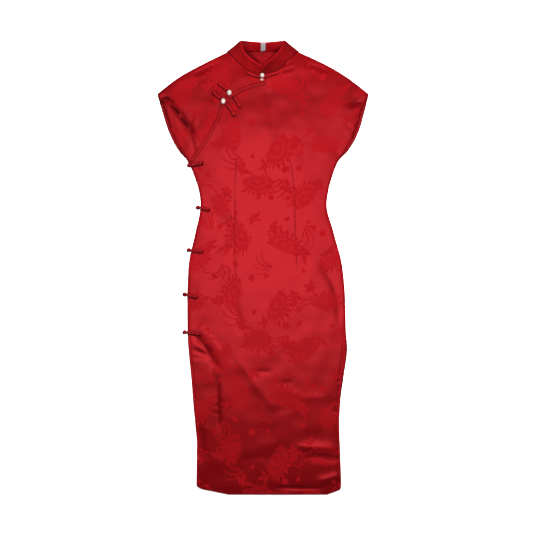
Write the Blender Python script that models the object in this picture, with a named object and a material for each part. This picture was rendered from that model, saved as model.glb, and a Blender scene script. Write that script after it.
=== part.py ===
"""Cheongsam dress, laid flat with its front up.

Lengths are metres. X runs towards the wearer's left side, Y towards the collar and Z up from
the surface that the dress lies on. The origin is under the middle of the dress.

The back lies flat. The front is one height field over it, worked out from the sections below,
the fullness that the darts give and the largest folds. The collar stands up out of the neck.
"""

import math
from typing import NamedTuple

import bmesh
import bpy
import numpy as np
from mathutils import Matrix, Vector
from mathutils.bvhtree import BVHTree

# Cloth walls and the spaces between them
CLOTH = 0.0012
BAND = 0.0018
TRIM = 0.0010
SEAM_GAP = 0.0003
EDGE_TOP = CLOTH + SEAM_GAP + CLOTH
CROWN_POWER = 5
FOLD_END = 0.35

# The slanted opening: how far the main front runs under the shoulder piece
UNDERLAP = 0.015
LAP_RISE = 0.0019
LAP_FLAT = 0.026
LAP_FADE = 0.036
STRIP_WIDTH = 0.008
STRIP_CROWN = 0.0006
SHOULDER_TIP_X = -0.2852
SHOULDER_CELLS = (7, 2, 8, 10, 1)
CENTRE_FRONT_X = 0.008
CENTRE_FRONT_TOP = 0.5135

# Back neckline and armhole bindings
BACK_NECK_Y = 0.5858
BACK_NECK_HALF = 0.088
BINDING_WIDTH = 0.008
BINDING_LOW_Y = 0.308
BINDING_HIGH_Y = 0.443

# Darts are pressed seams, so each is a narrow valley
DART_DEPTH = 0.0009
DART_FLANK = 0.005

# Cords and pearls of the frogs
CORD_RADIUS = 0.0023
CORD_SIDES = 8
CORD_RINGS = 7
KNOT_RADIUS = 0.0046
PEARL_SEGMENTS = 12
PEARL_RINGS = 8

# Ribbon tab inside the collar
TAB_LEFT_X = -0.005
TAB_RIGHT_X = 0.006
TAB_FOOT_LEFT = 0.04
TAB_FOOT_RIGHT = 0.16
TAB_HEAD = 0.97


class Section(NamedTuple):
    """One level of the body: the edges of the back and of the front, and the front's heights."""

    name: str
    y: float
    back_left: float
    front_left: float
    front_right: float
    back_right: float
    edge_lift: float
    rise: float


SECTIONS = (
    Section("hem edge", -0.6130, -0.0940, -0.0940, 0.1730, 0.1730, 0.0010, 0.0035),
    Section("hem curve", -0.6050, -0.1320, -0.1320, 0.1950, 0.1950, 0.0010, 0.0040),
    Section("hem corner", -0.5980, -0.1660, -0.1660, 0.2095, 0.2095, 0.0010, 0.0045),
    Section("hem side", -0.5880, -0.1790, -0.1790, 0.2110, 0.2110, 0.0010, 0.0050),
    Section("calf", -0.4770, -0.1780, -0.1780, 0.2075, 0.2075, 0.0010, 0.0055),
    Section("below knee", -0.4280, -0.1820, -0.1820, 0.2060, 0.2060, 0.0010, 0.0060),
    Section("knee", -0.3630, -0.1880, -0.1880, 0.2080, 0.2090, 0.0012, 0.0065),
    Section("above knee", -0.2980, -0.1930, -0.1930, 0.2120, 0.2175, 0.0012, 0.0070),
    Section("thigh", -0.2170, -0.2010, -0.2010, 0.2215, 0.2275, 0.0010, 0.0075),
    Section("slit top", -0.1700, -0.2035, -0.2035, 0.2235, 0.2240, 0.0002, 0.0080),
    Section("hip", -0.0880, -0.2040, -0.2040, 0.2220, 0.2220, 0.0, 0.0085),
    Section("high hip", 0.0000, -0.2010, -0.2010, 0.2145, 0.2145, 0.0, 0.0085),
    Section("belly", 0.0905, -0.1830, -0.1830, 0.1920, 0.1920, 0.0, 0.0080),
    Section("waist", 0.1715, -0.1680, -0.1680, 0.1720, 0.1720, 0.0, 0.0075),
    Section("above waist", 0.2040, -0.1720, -0.1720, 0.1760, 0.1760, 0.0, 0.0080),
    Section("rib", 0.2525, -0.1870, -0.1870, 0.1890, 0.1890, 0.0, 0.0095),
    Section("armpit", 0.2850, -0.2020, -0.2020, 0.2020, 0.2020, 0.0002, 0.0100),
    Section("armhole foot", 0.3170, -0.2290, -0.2220, 0.2240, 0.2310, 0.0028, 0.0105),
    Section("armhole middle", 0.3660, -0.2540, -0.2455, 0.2475, 0.2580, 0.0030, 0.0105),
    Section("armhole head", 0.4310, -0.2750, -0.2675, 0.2685, 0.2770, 0.0031, 0.0095),
    Section("shoulder tip", 0.4685, -0.2860, -0.2855, 0.2855, 0.2860, 0.0, 0.0085),
    Section("outer shoulder", 0.5120, -0.2290, -0.2290, 0.2290, 0.2290, 0.0, 0.0080),
    Section("inner shoulder", 0.5440, -0.1720, -0.1720, 0.1760, 0.1760, 0.0, 0.0075),
    Section("neck point", 0.5820, -0.0960, -0.0960, 0.0960, 0.0960, 0.0, 0.0060),
)


class Band(NamedTuple):
    """A stretch of the body that has one spacing of cross rows."""

    low: float
    high: float
    pitch: float


ROW_BANDS = (
    Band(-0.6130, -0.5880, 0.0065),
    Band(-0.5880, -0.1700, 0.0155),
    Band(-0.1700, 0.2850, 0.0240),
    Band(0.2850, 0.4685, 0.0155),
    Band(0.4685, 0.4940, 0.0130),
    Band(0.4940, 0.5810, 0.0085),
)


class Fullness(NamedTuple):
    """Room that a pair of darts gives the cloth: a low swell of the front."""

    x: float
    y: float
    half_width: float
    half_length: float
    height: float


FULLNESS = (
    Fullness(-0.078, 0.350, 0.070, 0.085, 0.0060),
    Fullness(0.070, 0.350, 0.070, 0.085, 0.0060),
)


class Fold(NamedTuple):
    """One fold of the front: a ridge where height is above zero, a trough where it is below."""

    name: str
    height: float
    half_width: float
    path: tuple


FOLDS = (
    Fold("left shoulder", -0.0025, 0.014, ((-0.194, 0.521), (-0.114, 0.555))),
    Fold("right shoulder", -0.0025, 0.014, ((0.116, 0.548), (0.183, 0.526))),
    Fold("left armhole dip", -0.0055, 0.013, ((-0.240, 0.437), (-0.219, 0.414), (-0.192, 0.350))),
    Fold("left armhole hook", -0.0030, 0.010, ((-0.268, 0.455), (-0.253, 0.455), (-0.238, 0.438))),
    Fold("left armhole ridge", 0.0030, 0.014, ((-0.252, 0.420), (-0.232, 0.380), (-0.212, 0.345))),
    Fold("right armhole pucker", -0.0030, 0.011, ((0.232, 0.440), (0.265, 0.449))),
    Fold("centre front", -0.0018, 0.022, ((0.014, 0.480), (0.024, 0.420), (0.030, 0.350))),
    Fold("waist left low", -0.0016, 0.011, ((-0.128, 0.117), (-0.084, 0.140))),
    Fold("hip left", -0.0020, 0.012, ((-0.136, 0.042), (-0.092, 0.074))),
    Fold("under left dart", -0.0020, 0.013, ((-0.077, -0.058), (-0.065, -0.169))),
    Fold("right hip", -0.0028, 0.014, ((0.157, 0.009), (0.198, -0.060), (0.206, -0.150))),
    Fold("slit fan ridge", 0.0035, 0.014, ((-0.170, -0.168), (-0.134, -0.212), (-0.100, -0.262))),
    Fold("slit fan dip", -0.0050, 0.013, ((-0.186, -0.184), (-0.147, -0.230), (-0.118, -0.275))),
    Fold("slit fan low", -0.0022, 0.011, ((-0.182, -0.224), (-0.152, -0.240), (-0.130, -0.268))),
    Fold("skirt crease", -0.0034, 0.012, ((-0.122, -0.285), (-0.123, -0.352), (-0.120, -0.450))),
    Fold("long slant ridge", 0.0040, 0.015, ((-0.065, -0.252), (-0.018, -0.322), (0.031, -0.382))),
    Fold("slant trough", -0.0022, 0.015, ((-0.085, -0.290), (-0.045, -0.345), (0.005, -0.400))),
    Fold("knee trough", -0.0026, 0.012, ((0.027, -0.387), (0.090, -0.377))),
    Fold("knee crease", -0.0020, 0.012, ((-0.026, -0.281), (0.022, -0.281))),
    Fold("calf ridge", 0.0020, 0.014, ((-0.020, -0.480), (0.050, -0.479))),
    Fold("tongue ridge", 0.0055, 0.014, ((0.100, -0.483), (0.150, -0.485), (0.200, -0.488))),
    Fold("tongue trough", -0.0040, 0.013, ((0.120, -0.512), (0.160, -0.516), (0.204, -0.517))),
    Fold("hem side ridge", 0.0028, 0.012, ((0.150, -0.575), (0.205, -0.561))),
    Fold("hem trough", -0.0020, 0.010, ((0.027, -0.594), (0.162, -0.596))),
    Fold("left hem trough", -0.0028, 0.013, ((-0.168, -0.433), (-0.166, -0.506))),
)


class Dart(NamedTuple):
    """One waist dart of the front: the line of its seam, from its foot to its point."""

    name: str
    path: tuple


DARTS = (
    Dart("left", ((-0.0755, -0.055), (-0.0775, 0.120), (-0.0760, 0.250), (-0.0705, 0.330))),
    Dart("right", ((0.0930, -0.020), (0.0880, 0.140), (0.0835, 0.235), (0.0660, 0.330))),
)

# The shoulder piece's free edge, from the armpit to the centre front
OPENING = (
    (-0.1880, 0.2860),
    (-0.1640, 0.3220),
    (-0.1380, 0.3590),
    (-0.1190, 0.3980),
    (-0.0965, 0.4480),
    (-0.0750, 0.4660),
    (-0.0485, 0.4790),
    (-0.0200, 0.4885),
    (0.0080, 0.4940),
)


class Station(NamedTuple):
    """One upright line of the collar: where it is sewn on, and where its top edge is."""

    name: str
    seam_x: float
    seam_y: float
    top_x: float
    top_y: float
    top_z: float


COLLAR = (
    Station("left end", -0.0034, 0.5230, -0.0034, 0.5330, 0.0280),
    Station("left corner", -0.0075, 0.5234, -0.0060, 0.5405, 0.0355),
    Station("left front", -0.0200, 0.5262, -0.0170, 0.5490, 0.0355),
    Station("left cheek", -0.0400, 0.5330, -0.0290, 0.5580, 0.0330),
    Station("left bend", -0.0580, 0.5465, -0.0450, 0.5720, 0.0290),
    Station("left side", -0.0760, 0.5640, -0.0540, 0.5910, 0.0210),
    Station("left crease, front", -0.0925, 0.5806, -0.0585, 0.6090, 0.0140),
    Station("left crease", -0.0968, 0.5832, -0.0600, 0.6124, 0.0110),
    Station("left crease, back", -0.0915, 0.5848, -0.0560, 0.6116, 0.0118),
    Station("back left", -0.0450, 0.5848, -0.0300, 0.6076, 0.0230),
    Station("back middle", 0.0000, 0.5848, 0.0000, 0.6050, 0.0300),
    Station("back right", 0.0450, 0.5848, 0.0300, 0.6076, 0.0230),
    Station("right crease, back", 0.0915, 0.5848, 0.0555, 0.6116, 0.0118),
    Station("right crease", 0.0968, 0.5832, 0.0595, 0.6124, 0.0110),
    Station("right crease, front", 0.0925, 0.5806, 0.0570, 0.6085, 0.0140),
    Station("right side", 0.0760, 0.5678, 0.0485, 0.5910, 0.0210),
    Station("right bend", 0.0600, 0.5510, 0.0360, 0.5740, 0.0290),
    Station("right cheek", 0.0420, 0.5345, 0.0240, 0.5610, 0.0330),
    Station("right front", 0.0200, 0.5265, 0.0100, 0.5500, 0.0350),
    Station("right corner", 0.0045, 0.5234, 0.0025, 0.5390, 0.0345),
    Station("right end", 0.0002, 0.5230, 0.0000, 0.5325, 0.0275),
)
CREASE_HEIGHT = 0.0036
FIRST_BACK = 8
LAST_BACK = 12


class Arm(NamedTuple):
    """One corded arm of a frog, which lies on the front and swells towards its end."""

    name: str
    path: tuple
    swell: float


FROG_ARMS = (
    Arm("collar_frog_left", ((-0.0095, 0.5145), (-0.0250, 0.5185), (-0.0430, 0.5265)), 1.25),
    Arm("collar_frog_right", ((0.0075, 0.5135), (0.0195, 0.5200), (0.0380, 0.5252)), 1.25),
    Arm("chest_frog_a_left", ((-0.0975, 0.4795), (-0.1080, 0.4885), (-0.1190, 0.4965)), 1.10),
    Arm("chest_frog_a_right", ((-0.0820, 0.4645), (-0.0735, 0.4550), (-0.0620, 0.4340)), 1.45),
    Arm("chest_frog_b_left", ((-0.1150, 0.4560), (-0.1240, 0.4635), (-0.1340, 0.4720)), 1.10),
    Arm("chest_frog_b_right", ((-0.0985, 0.4410), (-0.0895, 0.4310), (-0.0770, 0.4100)), 1.45),
)


class Pearl(NamedTuple):
    """One pearl button: its place and its half sizes."""

    name: str
    x: float
    y: float
    half_x: float
    half_y: float
    half_z: float


PEARLS = (
    Pearl("collar_pearl", -0.0020, 0.5176, 0.0058, 0.0064, 0.0056),
    Pearl("collar_pearl_lower", -0.0030, 0.5062, 0.0047, 0.0034, 0.0030),
    Pearl("chest_frog_a_pearl", -0.0906, 0.4708, 0.0062, 0.0074, 0.0060),
    Pearl("chest_frog_b_pearl", -0.1070, 0.4477, 0.0062, 0.0074, 0.0060),
)


class SideFrog(NamedTuple):
    """One frog of the side seam: a bar on the front and the knot over the edge."""

    number: int
    knot: tuple
    bar_end: tuple


SIDE_FROGS = (
    SideFrog(1, (-0.1990, 0.2755), (-0.1665, 0.2815)),
    SideFrog(2, (-0.1755, 0.1620), (-0.1470, 0.1560)),
    SideFrog(3, (-0.2000, 0.0470), (-0.1655, 0.0430)),
    SideFrog(4, (-0.2115, -0.0725), (-0.1805, -0.0795)),
    SideFrog(5, (-0.2115, -0.1745), (-0.1735, -0.1800)),
)


class Finish(NamedTuple):
    """A material: its colour as seen on screen, from 0 to 255, and its roughness."""

    name: str
    red: int
    green: int
    blue: int
    roughness: float


SATIN = Finish("red_satin", 176, 22, 32, 0.42)
PIPING = Finish("piping_satin", 200, 32, 44, 0.45)
CORD = Finish("frog_cord", 150, 20, 30, 0.55)
PEARL = Finish("pearl", 250, 248, 240, 0.18)
RIBBON = Finish("grey_ribbon", 205, 210, 210, 0.40)


def linear(level):
    """Turns a screen level from 0 to 255 into linear light."""
    share = level / 255
    return share / 12.92 if share <= 0.04045 else ((share + 0.055) / 1.055) ** 2.4


def material(finish, made={}):
    """Gives the finish's own material, and makes it once."""
    if finish.name not in made:
        made[finish.name] = bpy.data.materials.new(finish.name)
        made[finish.name].use_nodes = True
        shader = made[finish.name].node_tree.nodes["Principled BSDF"]
        levels = [linear(v) for v in (finish.red, finish.green, finish.blue)]
        shader.inputs["Base Color"].default_value = (*levels, 1)
        shader.inputs["Roughness"].default_value = finish.roughness
        shader.inputs["Metallic"].default_value = 0
        made[finish.name].diffuse_color = (*levels, 1)
    return made[finish.name]


def smooth(keys, values, at):
    """Reads, at the places given, a curve through every key that never swings past a value."""
    keys, values = np.asarray(keys, float), np.asarray(values, float)
    steps = np.diff(keys)
    rates = np.diff(values) / steps
    slopes = np.empty_like(values)
    slopes[0], slopes[-1] = rates[0], rates[-1]
    before, after = rates[:-1], rates[1:]
    same_way = before * after > 0
    total = np.where(same_way, before + after, 1)
    slopes[1:-1] = np.where(same_way, 2 * before * after / total, 0)
    i = np.clip(np.searchsorted(keys, at, side="right") - 1, 0, len(steps) - 1)
    t = np.clip((at - keys[i]) / steps[i], 0, 1)
    start = (1 + 2 * t) * (1 - t) ** 2 * values[i] + t * (1 - t) ** 2 * steps[i] * slopes[i]
    end = t**2 * (3 - 2 * t) * values[i + 1] - t**2 * (1 - t) * steps[i] * slopes[i + 1]
    return start + end


def ease(t):
    """Goes from 0 to 1 with level ends."""
    t = np.clip(t, 0, 1)
    return t * t * (3 - 2 * t)


TIP = next(i for i, s in enumerate(SECTIONS) if s.name == "shoulder tip")
ARMPIT = next(i for i, s in enumerate(SECTIONS) if s.name == "armpit")


def section_value(field, y):
    """Reads one column of the section table at any height, with a corner at the shoulder tip."""
    y = np.asarray(y, float)
    below, above = SECTIONS[: TIP + 1], SECTIONS[TIP:]
    low = smooth([s.y for s in below], [getattr(s, field) for s in below], y)
    high = smooth([s.y for s in above], [getattr(s, field) for s in above], y)
    return np.where(y <= SECTIONS[TIP].y, low, high)


def distance_to(x, y, path):
    """Gives each point's distance to a path, and how far along the path it is, from 0 to 1."""
    path = np.asarray(path, float)
    lengths = np.linalg.norm(np.diff(path, axis=0), axis=1)
    before = np.concatenate([[0], np.cumsum(lengths)])
    best = np.full(np.shape(x), np.inf)
    along = np.zeros(np.shape(x))
    for k, (a, b) in enumerate(zip(path[:-1], path[1:])):
        run = b - a
        t = np.clip(((x - a[0]) * run[0] + (y - a[1]) * run[1]) / lengths[k] ** 2, 0, 1)
        d = np.hypot(x - a[0] - t * run[0], y - a[1] - t * run[1])
        nearer = d < best
        best = np.where(nearer, d, best)
        along = np.where(nearer, (before[k] + t * lengths[k]) / before[-1], along)
    return best, along


def front_height(x, y):
    """Height of the front's outer face: its crown, the darts' fullness and the folds."""
    x, y = np.broadcast_arrays(np.asarray(x, float), np.asarray(y, float))
    left, right = section_value("front_left", y), section_value("front_right", y)
    lift, rise = section_value("edge_lift", y), section_value("rise", y)
    across = np.clip(np.abs(2 * (x - left) / (right - left) - 1), 0, 1)
    crown = 1 - across**CROWN_POWER
    height = lift + (rise - lift) * crown
    for f in FULLNESS:
        away = ((x - f.x) / f.half_width) ** 2 + ((y - f.y) / f.half_length) ** 2
        height = height + f.height * np.exp(-away) * crown
    for fold in FOLDS:
        d, along = distance_to(x, y, fold.path)
        taper = 1 - (2 * along - 1) ** 4
        strength = FOLD_END + (1 - FOLD_END) * taper
        height = height + fold.height * np.exp(-((d / fold.half_width) ** 2)) * strength
    return EDGE_TOP + np.maximum(height, 0)


def opening_curve(count):
    """Points along the slanted opening, from the armpit to the centre front."""
    x = np.linspace(OPENING[0][0], OPENING[-1][0], count)
    return np.stack([x, smooth([p[0] for p in OPENING], [p[1] for p in OPENING], x)], axis=1)


def shifted(path, distance):
    """Moves a plan path to its left by a distance."""
    run = np.gradient(path, axis=0)
    run /= np.linalg.norm(run, axis=1, keepdims=True)
    return path + distance * np.stack([-run[:, 1], run[:, 0]], axis=1)


def shoulder_height(x, y):
    """Height of the shoulder piece's outer face, which lies over the main front at the opening."""
    d, _ = distance_to(x, y, opening_curve(24))
    return front_height(x, y) + LAP_RISE * (1 - ease((d - LAP_FLAT) / LAP_FADE))


def body_rows(low, high):
    """Heights of the cross rows from low to high, at each stretch's own pitch."""
    rows = []
    for band in ROW_BANDS:
        a, b = max(band.low, low), min(band.high, high)
        if b > a:
            count = max(1, round((b - a) / band.pitch))
            rows.extend(np.linspace(a, b, count, endpoint=False))
    return np.array([*rows, high])


def add_mesh(name, points, faces, finish):
    """Makes an object from points and faces, with its faces pointing out."""
    mesh = bpy.data.meshes.new(name)
    work = bmesh.new()
    corners = [work.verts.new(p) for p in points]
    for face in faces:
        work.faces.new([corners[i] for i in face])
    bmesh.ops.recalc_face_normals(work, faces=work.faces)
    work.to_mesh(mesh)
    work.free()
    mesh.shade_smooth()
    mesh.set_sharp_from_angle(angle=math.radians(50))
    mesh.materials.append(material(finish))
    made = bpy.data.objects.new(name, mesh)
    bpy.context.scene.collection.objects.link(made)
    return made


def cloth_wall(name, outer, inner, finish):
    """Closes two grids of the same size, one each side of the cloth, with walls round the rim."""
    rows, columns = outer.shape[:2]
    size = rows * columns
    grid = np.arange(size).reshape(rows, columns)
    quads = np.stack([grid[:-1, :-1], grid[:-1, 1:], grid[1:, 1:], grid[1:, :-1]], axis=-1)
    quads = quads.reshape(-1, 4)
    rim = np.concatenate([grid[0, :-1], grid[:-1, -1], grid[-1, :0:-1], grid[:0:-1, 0]])
    after = np.roll(rim, -1)
    walls = np.stack([after, rim, rim + size, after + size], axis=1)
    faces = np.concatenate([quads, quads[:, ::-1] + size, walls])
    points = np.concatenate([outer.reshape(-1, 3), inner.reshape(-1, 3)])
    return add_mesh(name, points.tolist(), faces.tolist(), finish)


def draped(x, y, z, thickness):
    """The outer and inner grids of a piece whose outer face is at height z."""
    outer = np.stack(np.broadcast_arrays(x, y, z), axis=-1)
    return outer, outer - np.array([0, 0, thickness])


def normals_of(grid):
    """Unit normals of a grid of points, on the side that the rows and columns turn towards."""
    normal = np.cross(np.gradient(grid, axis=0), np.gradient(grid, axis=1))
    return normal / np.linalg.norm(normal, axis=-1, keepdims=True)


def collar_seam(side):
    """The collar's seam on one front, from the centre front to the neck point."""
    stations = COLLAR[: FIRST_BACK - 1] if side < 0 else COLLAR[LAST_BACK + 2 :][::-1]
    return np.array([(s.seam_x, s.seam_y) for s in stations])


def back_panel(name, side):
    """One half of the back, flat on its underside, from the hem to the neck."""
    rows = body_rows(SECTIONS[0].y, SECTIONS[-1].y)
    field = "back_left" if side < 0 else "back_right"
    edge = np.append(section_value(field, rows), side * BACK_NECK_HALF)
    y = np.append(rows, BACK_NECK_Y)
    seam = np.full_like(y, side * SEAM_GAP / 2)
    share = np.array([0, 0.5, 1])
    x = seam[:, None] + (edge - seam)[:, None] * share
    return cloth_wall(name, *draped(x, y[:, None], CLOTH, CLOTH), SATIN)


def dart_share(dart, rows, left, right):
    """Where a dart's line runs across the front, as a share of the width at each row."""
    ys, xs = [p[1] for p in dart.path], [p[0] for p in dart.path]
    held = np.clip(rows, ys[0], ys[-1])
    edges_left = section_value("front_left", held)
    edges_right = section_value("front_right", held)
    share = (smooth(ys, xs, held) - edges_left) / (edges_right - edges_left)
    return left + share * (right - left)


def dart_valley(x, y):
    """How far the front dips along its dart seams."""
    dip = np.zeros(np.shape(x))
    for dart in DARTS:
        d, along = distance_to(x, y, dart.path)
        ends = np.clip(8 * np.minimum(along, 1 - along) + 0.1, 0, 1)
        dip = dip + DART_DEPTH * ends * np.clip(1 - d / DART_FLANK, 0, 1)
    return dip


def front_left_edge(y):
    """The main front's own left edge: side seam, then underlap, then neckline."""
    under = shifted(opening_curve(60), UNDERLAP)
    neck = collar_seam(1)
    path = np.concatenate([under[under[:, 1] < neck[0, 1] - SEAM_GAP], neck])
    inside = np.interp(y, path[:, 1], path[:, 0], left=-1)
    return np.maximum(section_value("front_left", y), inside)


def front_main():
    """The main front, with a column of points along each dart and one on each of its flanks."""
    rows = body_rows(SECTIONS[0].y, ROW_BANDS[-1].high)
    left, right = front_left_edge(rows), section_value("front_right", rows)
    darts = [dart_share(d, rows, left, right) for d in DARTS]
    flank = np.minimum(DART_FLANK, (right - left) / 40)
    stops = [left, darts[0] - flank, darts[0], darts[0] + flank]
    stops += [darts[1] - flank, darts[1], darts[1] + flank, right]
    cells = (5, 1, 1, 7, 1, 1, 6)
    columns = []
    for a, b, count in zip(stops[:-1], stops[1:], cells):
        columns.extend(a + (b - a) * k / count for k in range(count))
    x = np.stack([*columns, right], axis=1)
    y = np.broadcast_to(rows[:, None], x.shape)
    z = np.maximum(front_height(x, y) - dart_valley(x, y), EDGE_TOP)
    return cloth_wall("front_main", *draped(x, y, z, CLOTH), SATIN)


def shoulder_edges(x):
    """The shoulder piece's lower and upper edges over each place across it."""
    armhole = np.linspace(SECTIONS[TIP].y, OPENING[0][1], 60)
    side = np.stack([section_value("front_left", armhole), armhole], axis=1)
    low = np.concatenate([side, opening_curve(60)])
    seam_y = np.linspace(SECTIONS[TIP].y, SECTIONS[-1].y, 40)
    line = np.stack([section_value("front_left", seam_y), seam_y], axis=1)
    high = np.concatenate([line, collar_seam(-1)[::-1], [[CENTRE_FRONT_X, CENTRE_FRONT_TOP]]])
    return np.interp(x, low[:, 0], low[:, 1]), np.interp(x, high[:, 0], high[:, 1])


def front_shoulder():
    """The shoulder piece, from the armhole to the centre front over the slanted opening."""
    armpit_x, neck_x = SECTIONS[ARMPIT].front_left, SECTIONS[-1].front_left
    stops = (SHOULDER_TIP_X, armpit_x, OPENING[0][0], neck_x, 0, CENTRE_FRONT_X)
    spans = zip(stops[:-1], stops[1:], SHOULDER_CELLS)
    x = np.concatenate([np.linspace(a, b, n, endpoint=False) for a, b, n in spans] + [[CENTRE_FRONT_X]])
    low, high = shoulder_edges(x)
    share = np.linspace(0, 1, 13)[:, None]
    y = low + (high - low) * share
    x = np.broadcast_to(x, y.shape)
    return cloth_wall("front_shoulder", *draped(x, y, shoulder_height(x, y), CLOTH), SATIN)


def placket_strip():
    """The piped strip on the shoulder piece's free edge, made from its points, moved out."""
    edge = opening_curve(37)
    across = [shifted(edge, STRIP_WIDTH * k / 2) for k in range(3)]
    plan = np.stack(across, axis=0)
    base = shoulder_height(plan[..., 0], plan[..., 1]) + SEAM_GAP
    crown = np.array([0, STRIP_CROWN, 0])[:, None]
    outer = np.stack([plan[..., 0], plan[..., 1], base + TRIM + crown], axis=-1)
    inner = np.stack([plan[..., 0], plan[..., 1], base], axis=-1)
    return cloth_wall("placket_strip", outer, inner, PIPING)


def armhole_binding(name, side):
    """The bound edge of the back's armhole, which shows past the front's edge."""
    y = np.linspace(BINDING_LOW_Y, BINDING_HIGH_Y, 17)
    field = "back_left" if side < 0 else "back_right"
    edge = np.stack([section_value(field, y), y], axis=1)
    inside = shifted(edge, side * BINDING_WIDTH)
    plan = np.stack([edge, inside], axis=0)
    base = CLOTH + SEAM_GAP
    return cloth_wall(name, *draped(plan[..., 0], plan[..., 1], base + TRIM, TRIM), PIPING)


def collar_grid():
    """The collar's middle surface: a straight wall from its seam to its top edge."""
    count = len(COLLAR)
    at = np.linspace(0, count - 1, 2 * count - 1)
    seam_z = np.empty(count)
    for i, s in enumerate(COLLAR):
        over = shoulder_height if s.seam_x < CENTRE_FRONT_X / 2 else front_height
        seam_z[i] = float(over(np.array(s.seam_x), np.array(s.seam_y)))
    seam_z += SEAM_GAP + BAND / 2
    seam_z[FIRST_BACK : LAST_BACK + 1] = CLOTH + SEAM_GAP + BAND / 2
    seam_z[[FIRST_BACK - 1, LAST_BACK + 1]] = CREASE_HEIGHT
    seam_z[-1] = seam_z[0]
    seam_z[-2] = seam_z[1]
    keys = np.arange(count)
    feet = ([s.seam_x for s in COLLAR], [s.seam_y for s in COLLAR], seam_z)
    tops = ([s.top_x for s in COLLAR], [s.top_y for s in COLLAR], [s.top_z for s in COLLAR])
    seam = np.stack([smooth(keys, v, at) for v in feet], axis=-1)
    top = np.stack([smooth(keys, v, at) for v in tops], axis=-1)
    share = np.linspace(0, 1, 5)[:, None, None]
    return seam + (top - seam) * share


def collar():
    """The stand collar: one band, open at the centre front, creased at each side."""
    middle = collar_grid()
    out = normals_of(middle) * BAND / 2
    return cloth_wall("collar", middle + out, middle - out, SATIN)


def neck_tab():
    """The ribbon inside the back of the collar, made from the collar's points, moved inwards."""
    middle = collar_grid()
    back = middle[:, 2 * FIRST_BACK : 2 * LAST_BACK + 1]
    places = np.linspace(TAB_LEFT_X, TAB_RIGHT_X, 3)
    line = np.stack([[np.interp(x, row[:, 0], row[:, k]) for x in places] for row in back for k in range(3)])
    line = line.reshape(len(back), 3, 3).transpose(0, 2, 1)
    foot = np.linspace(TAB_FOOT_LEFT, TAB_FOOT_RIGHT, 3)
    shares = foot + (TAB_HEAD - foot) * np.linspace(0, 1, 5)[:, None]
    grid = line[0] + (line[-1] - line[0]) * shares[..., None]
    facing = normals_of(grid)
    inward = facing * -np.sign(facing[..., 1:2])
    near = BAND / 2 + SEAM_GAP
    return cloth_wall("neck_tab", grid + inward * (near + TRIM), grid + inward * near, RIBBON)


class Ground:
    """The pieces that something lies on, looked at from above."""

    def __init__(self, pieces):
        """Gathers the faces of the pieces into one tree."""
        points, faces = [], []
        for piece in pieces:
            first = len(points)
            points.extend(v.co for v in piece.data.vertices)
            faces.extend([first + i for i in p.vertices] for p in piece.data.polygons)
        self.tree = BVHTree.FromPolygons(points, faces)

    def height(self, x, y, reach):
        """The highest point within reach of a place, or None where nothing lies below."""
        found = []
        for k in range(9):
            turn = k * math.pi / 4
            far = reach if k < 8 else 0
            start = Vector((x + far * math.cos(turn), y + far * math.sin(turn), 1))
            hit = self.tree.ray_cast(start, Vector((0, 0, -1)))[0]
            if hit is not None:
                found.append(hit.z)
        return max(found) if found else None


def corded(name, path, swell, ground):
    """A round cord that lies on the ground pieces and swells towards its far end."""
    path = np.asarray(path, float)
    keys = np.concatenate([[0], np.cumsum(np.linalg.norm(np.diff(path, axis=0), axis=1))])
    at = np.linspace(0, keys[-1], CORD_RINGS)
    x, y = smooth(keys, path[:, 0], at), smooth(keys, path[:, 1], at)
    radii = CORD_RADIUS * (1 + (swell - 1) * ease(2 * at / keys[-1] - 1))
    reach = radii + (at[1] - at[0]) / 2
    heights = [ground.height(a, b, r) for a, b, r in zip(x, y, reach)]
    known = [i for i, h in enumerate(heights) if h is not None]
    z = np.interp(range(CORD_RINGS), known, [heights[i] for i in known]) + radii + SEAM_GAP
    centre = np.stack([x, y, z], axis=1)
    run = np.gradient(centre, axis=0)
    run /= np.linalg.norm(run, axis=1, keepdims=True)
    side = np.cross(run, [0, 0, 1])
    side /= np.linalg.norm(side, axis=1, keepdims=True)
    up = np.cross(side, run)
    turns = np.arange(CORD_SIDES) * 2 * math.pi / CORD_SIDES
    ends = np.ones(CORD_RINGS)
    ends[[0, -1]] = 0.72
    spokes = side[:, None] * np.cos(turns)[:, None] + up[:, None] * np.sin(turns)[:, None]
    rings = centre[:, None] + spokes * (radii * ends)[:, None, None]
    tips = [centre[0] - run[0] * 0.25 * radii[0], centre[-1] + run[-1] * 0.25 * radii[-1]]
    points = [*rings.reshape(-1, 3), *tips]
    faces = []
    for i in range(CORD_SIDES):
        j = (i + 1) % CORD_SIDES
        for k in range(CORD_RINGS - 1):
            a = k * CORD_SIDES
            faces.append((a + i, a + j, a + CORD_SIDES + j, a + CORD_SIDES + i))
        last = (CORD_RINGS - 1) * CORD_SIDES
        faces.append((j, i, len(points) - 2))
        faces.append((last + i, last + j, len(points) - 1))
    return add_mesh(name, [tuple(p) for p in points], faces, CORD), centre


def ball(name, place, halves, finish):
    """A round button with its own half sizes."""
    work = bmesh.new()
    bmesh.ops.create_uvsphere(work, u_segments=PEARL_SEGMENTS, v_segments=PEARL_RINGS, radius=1)
    bmesh.ops.transform(work, matrix=Matrix.Diagonal((*halves, 1)), verts=work.verts)
    mesh = bpy.data.meshes.new(name)
    work.to_mesh(mesh)
    work.free()
    mesh.shade_smooth()
    mesh.materials.append(material(finish))
    made = bpy.data.objects.new(name, mesh)
    made.location = place
    bpy.context.scene.collection.objects.link(made)
    return made


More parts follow.
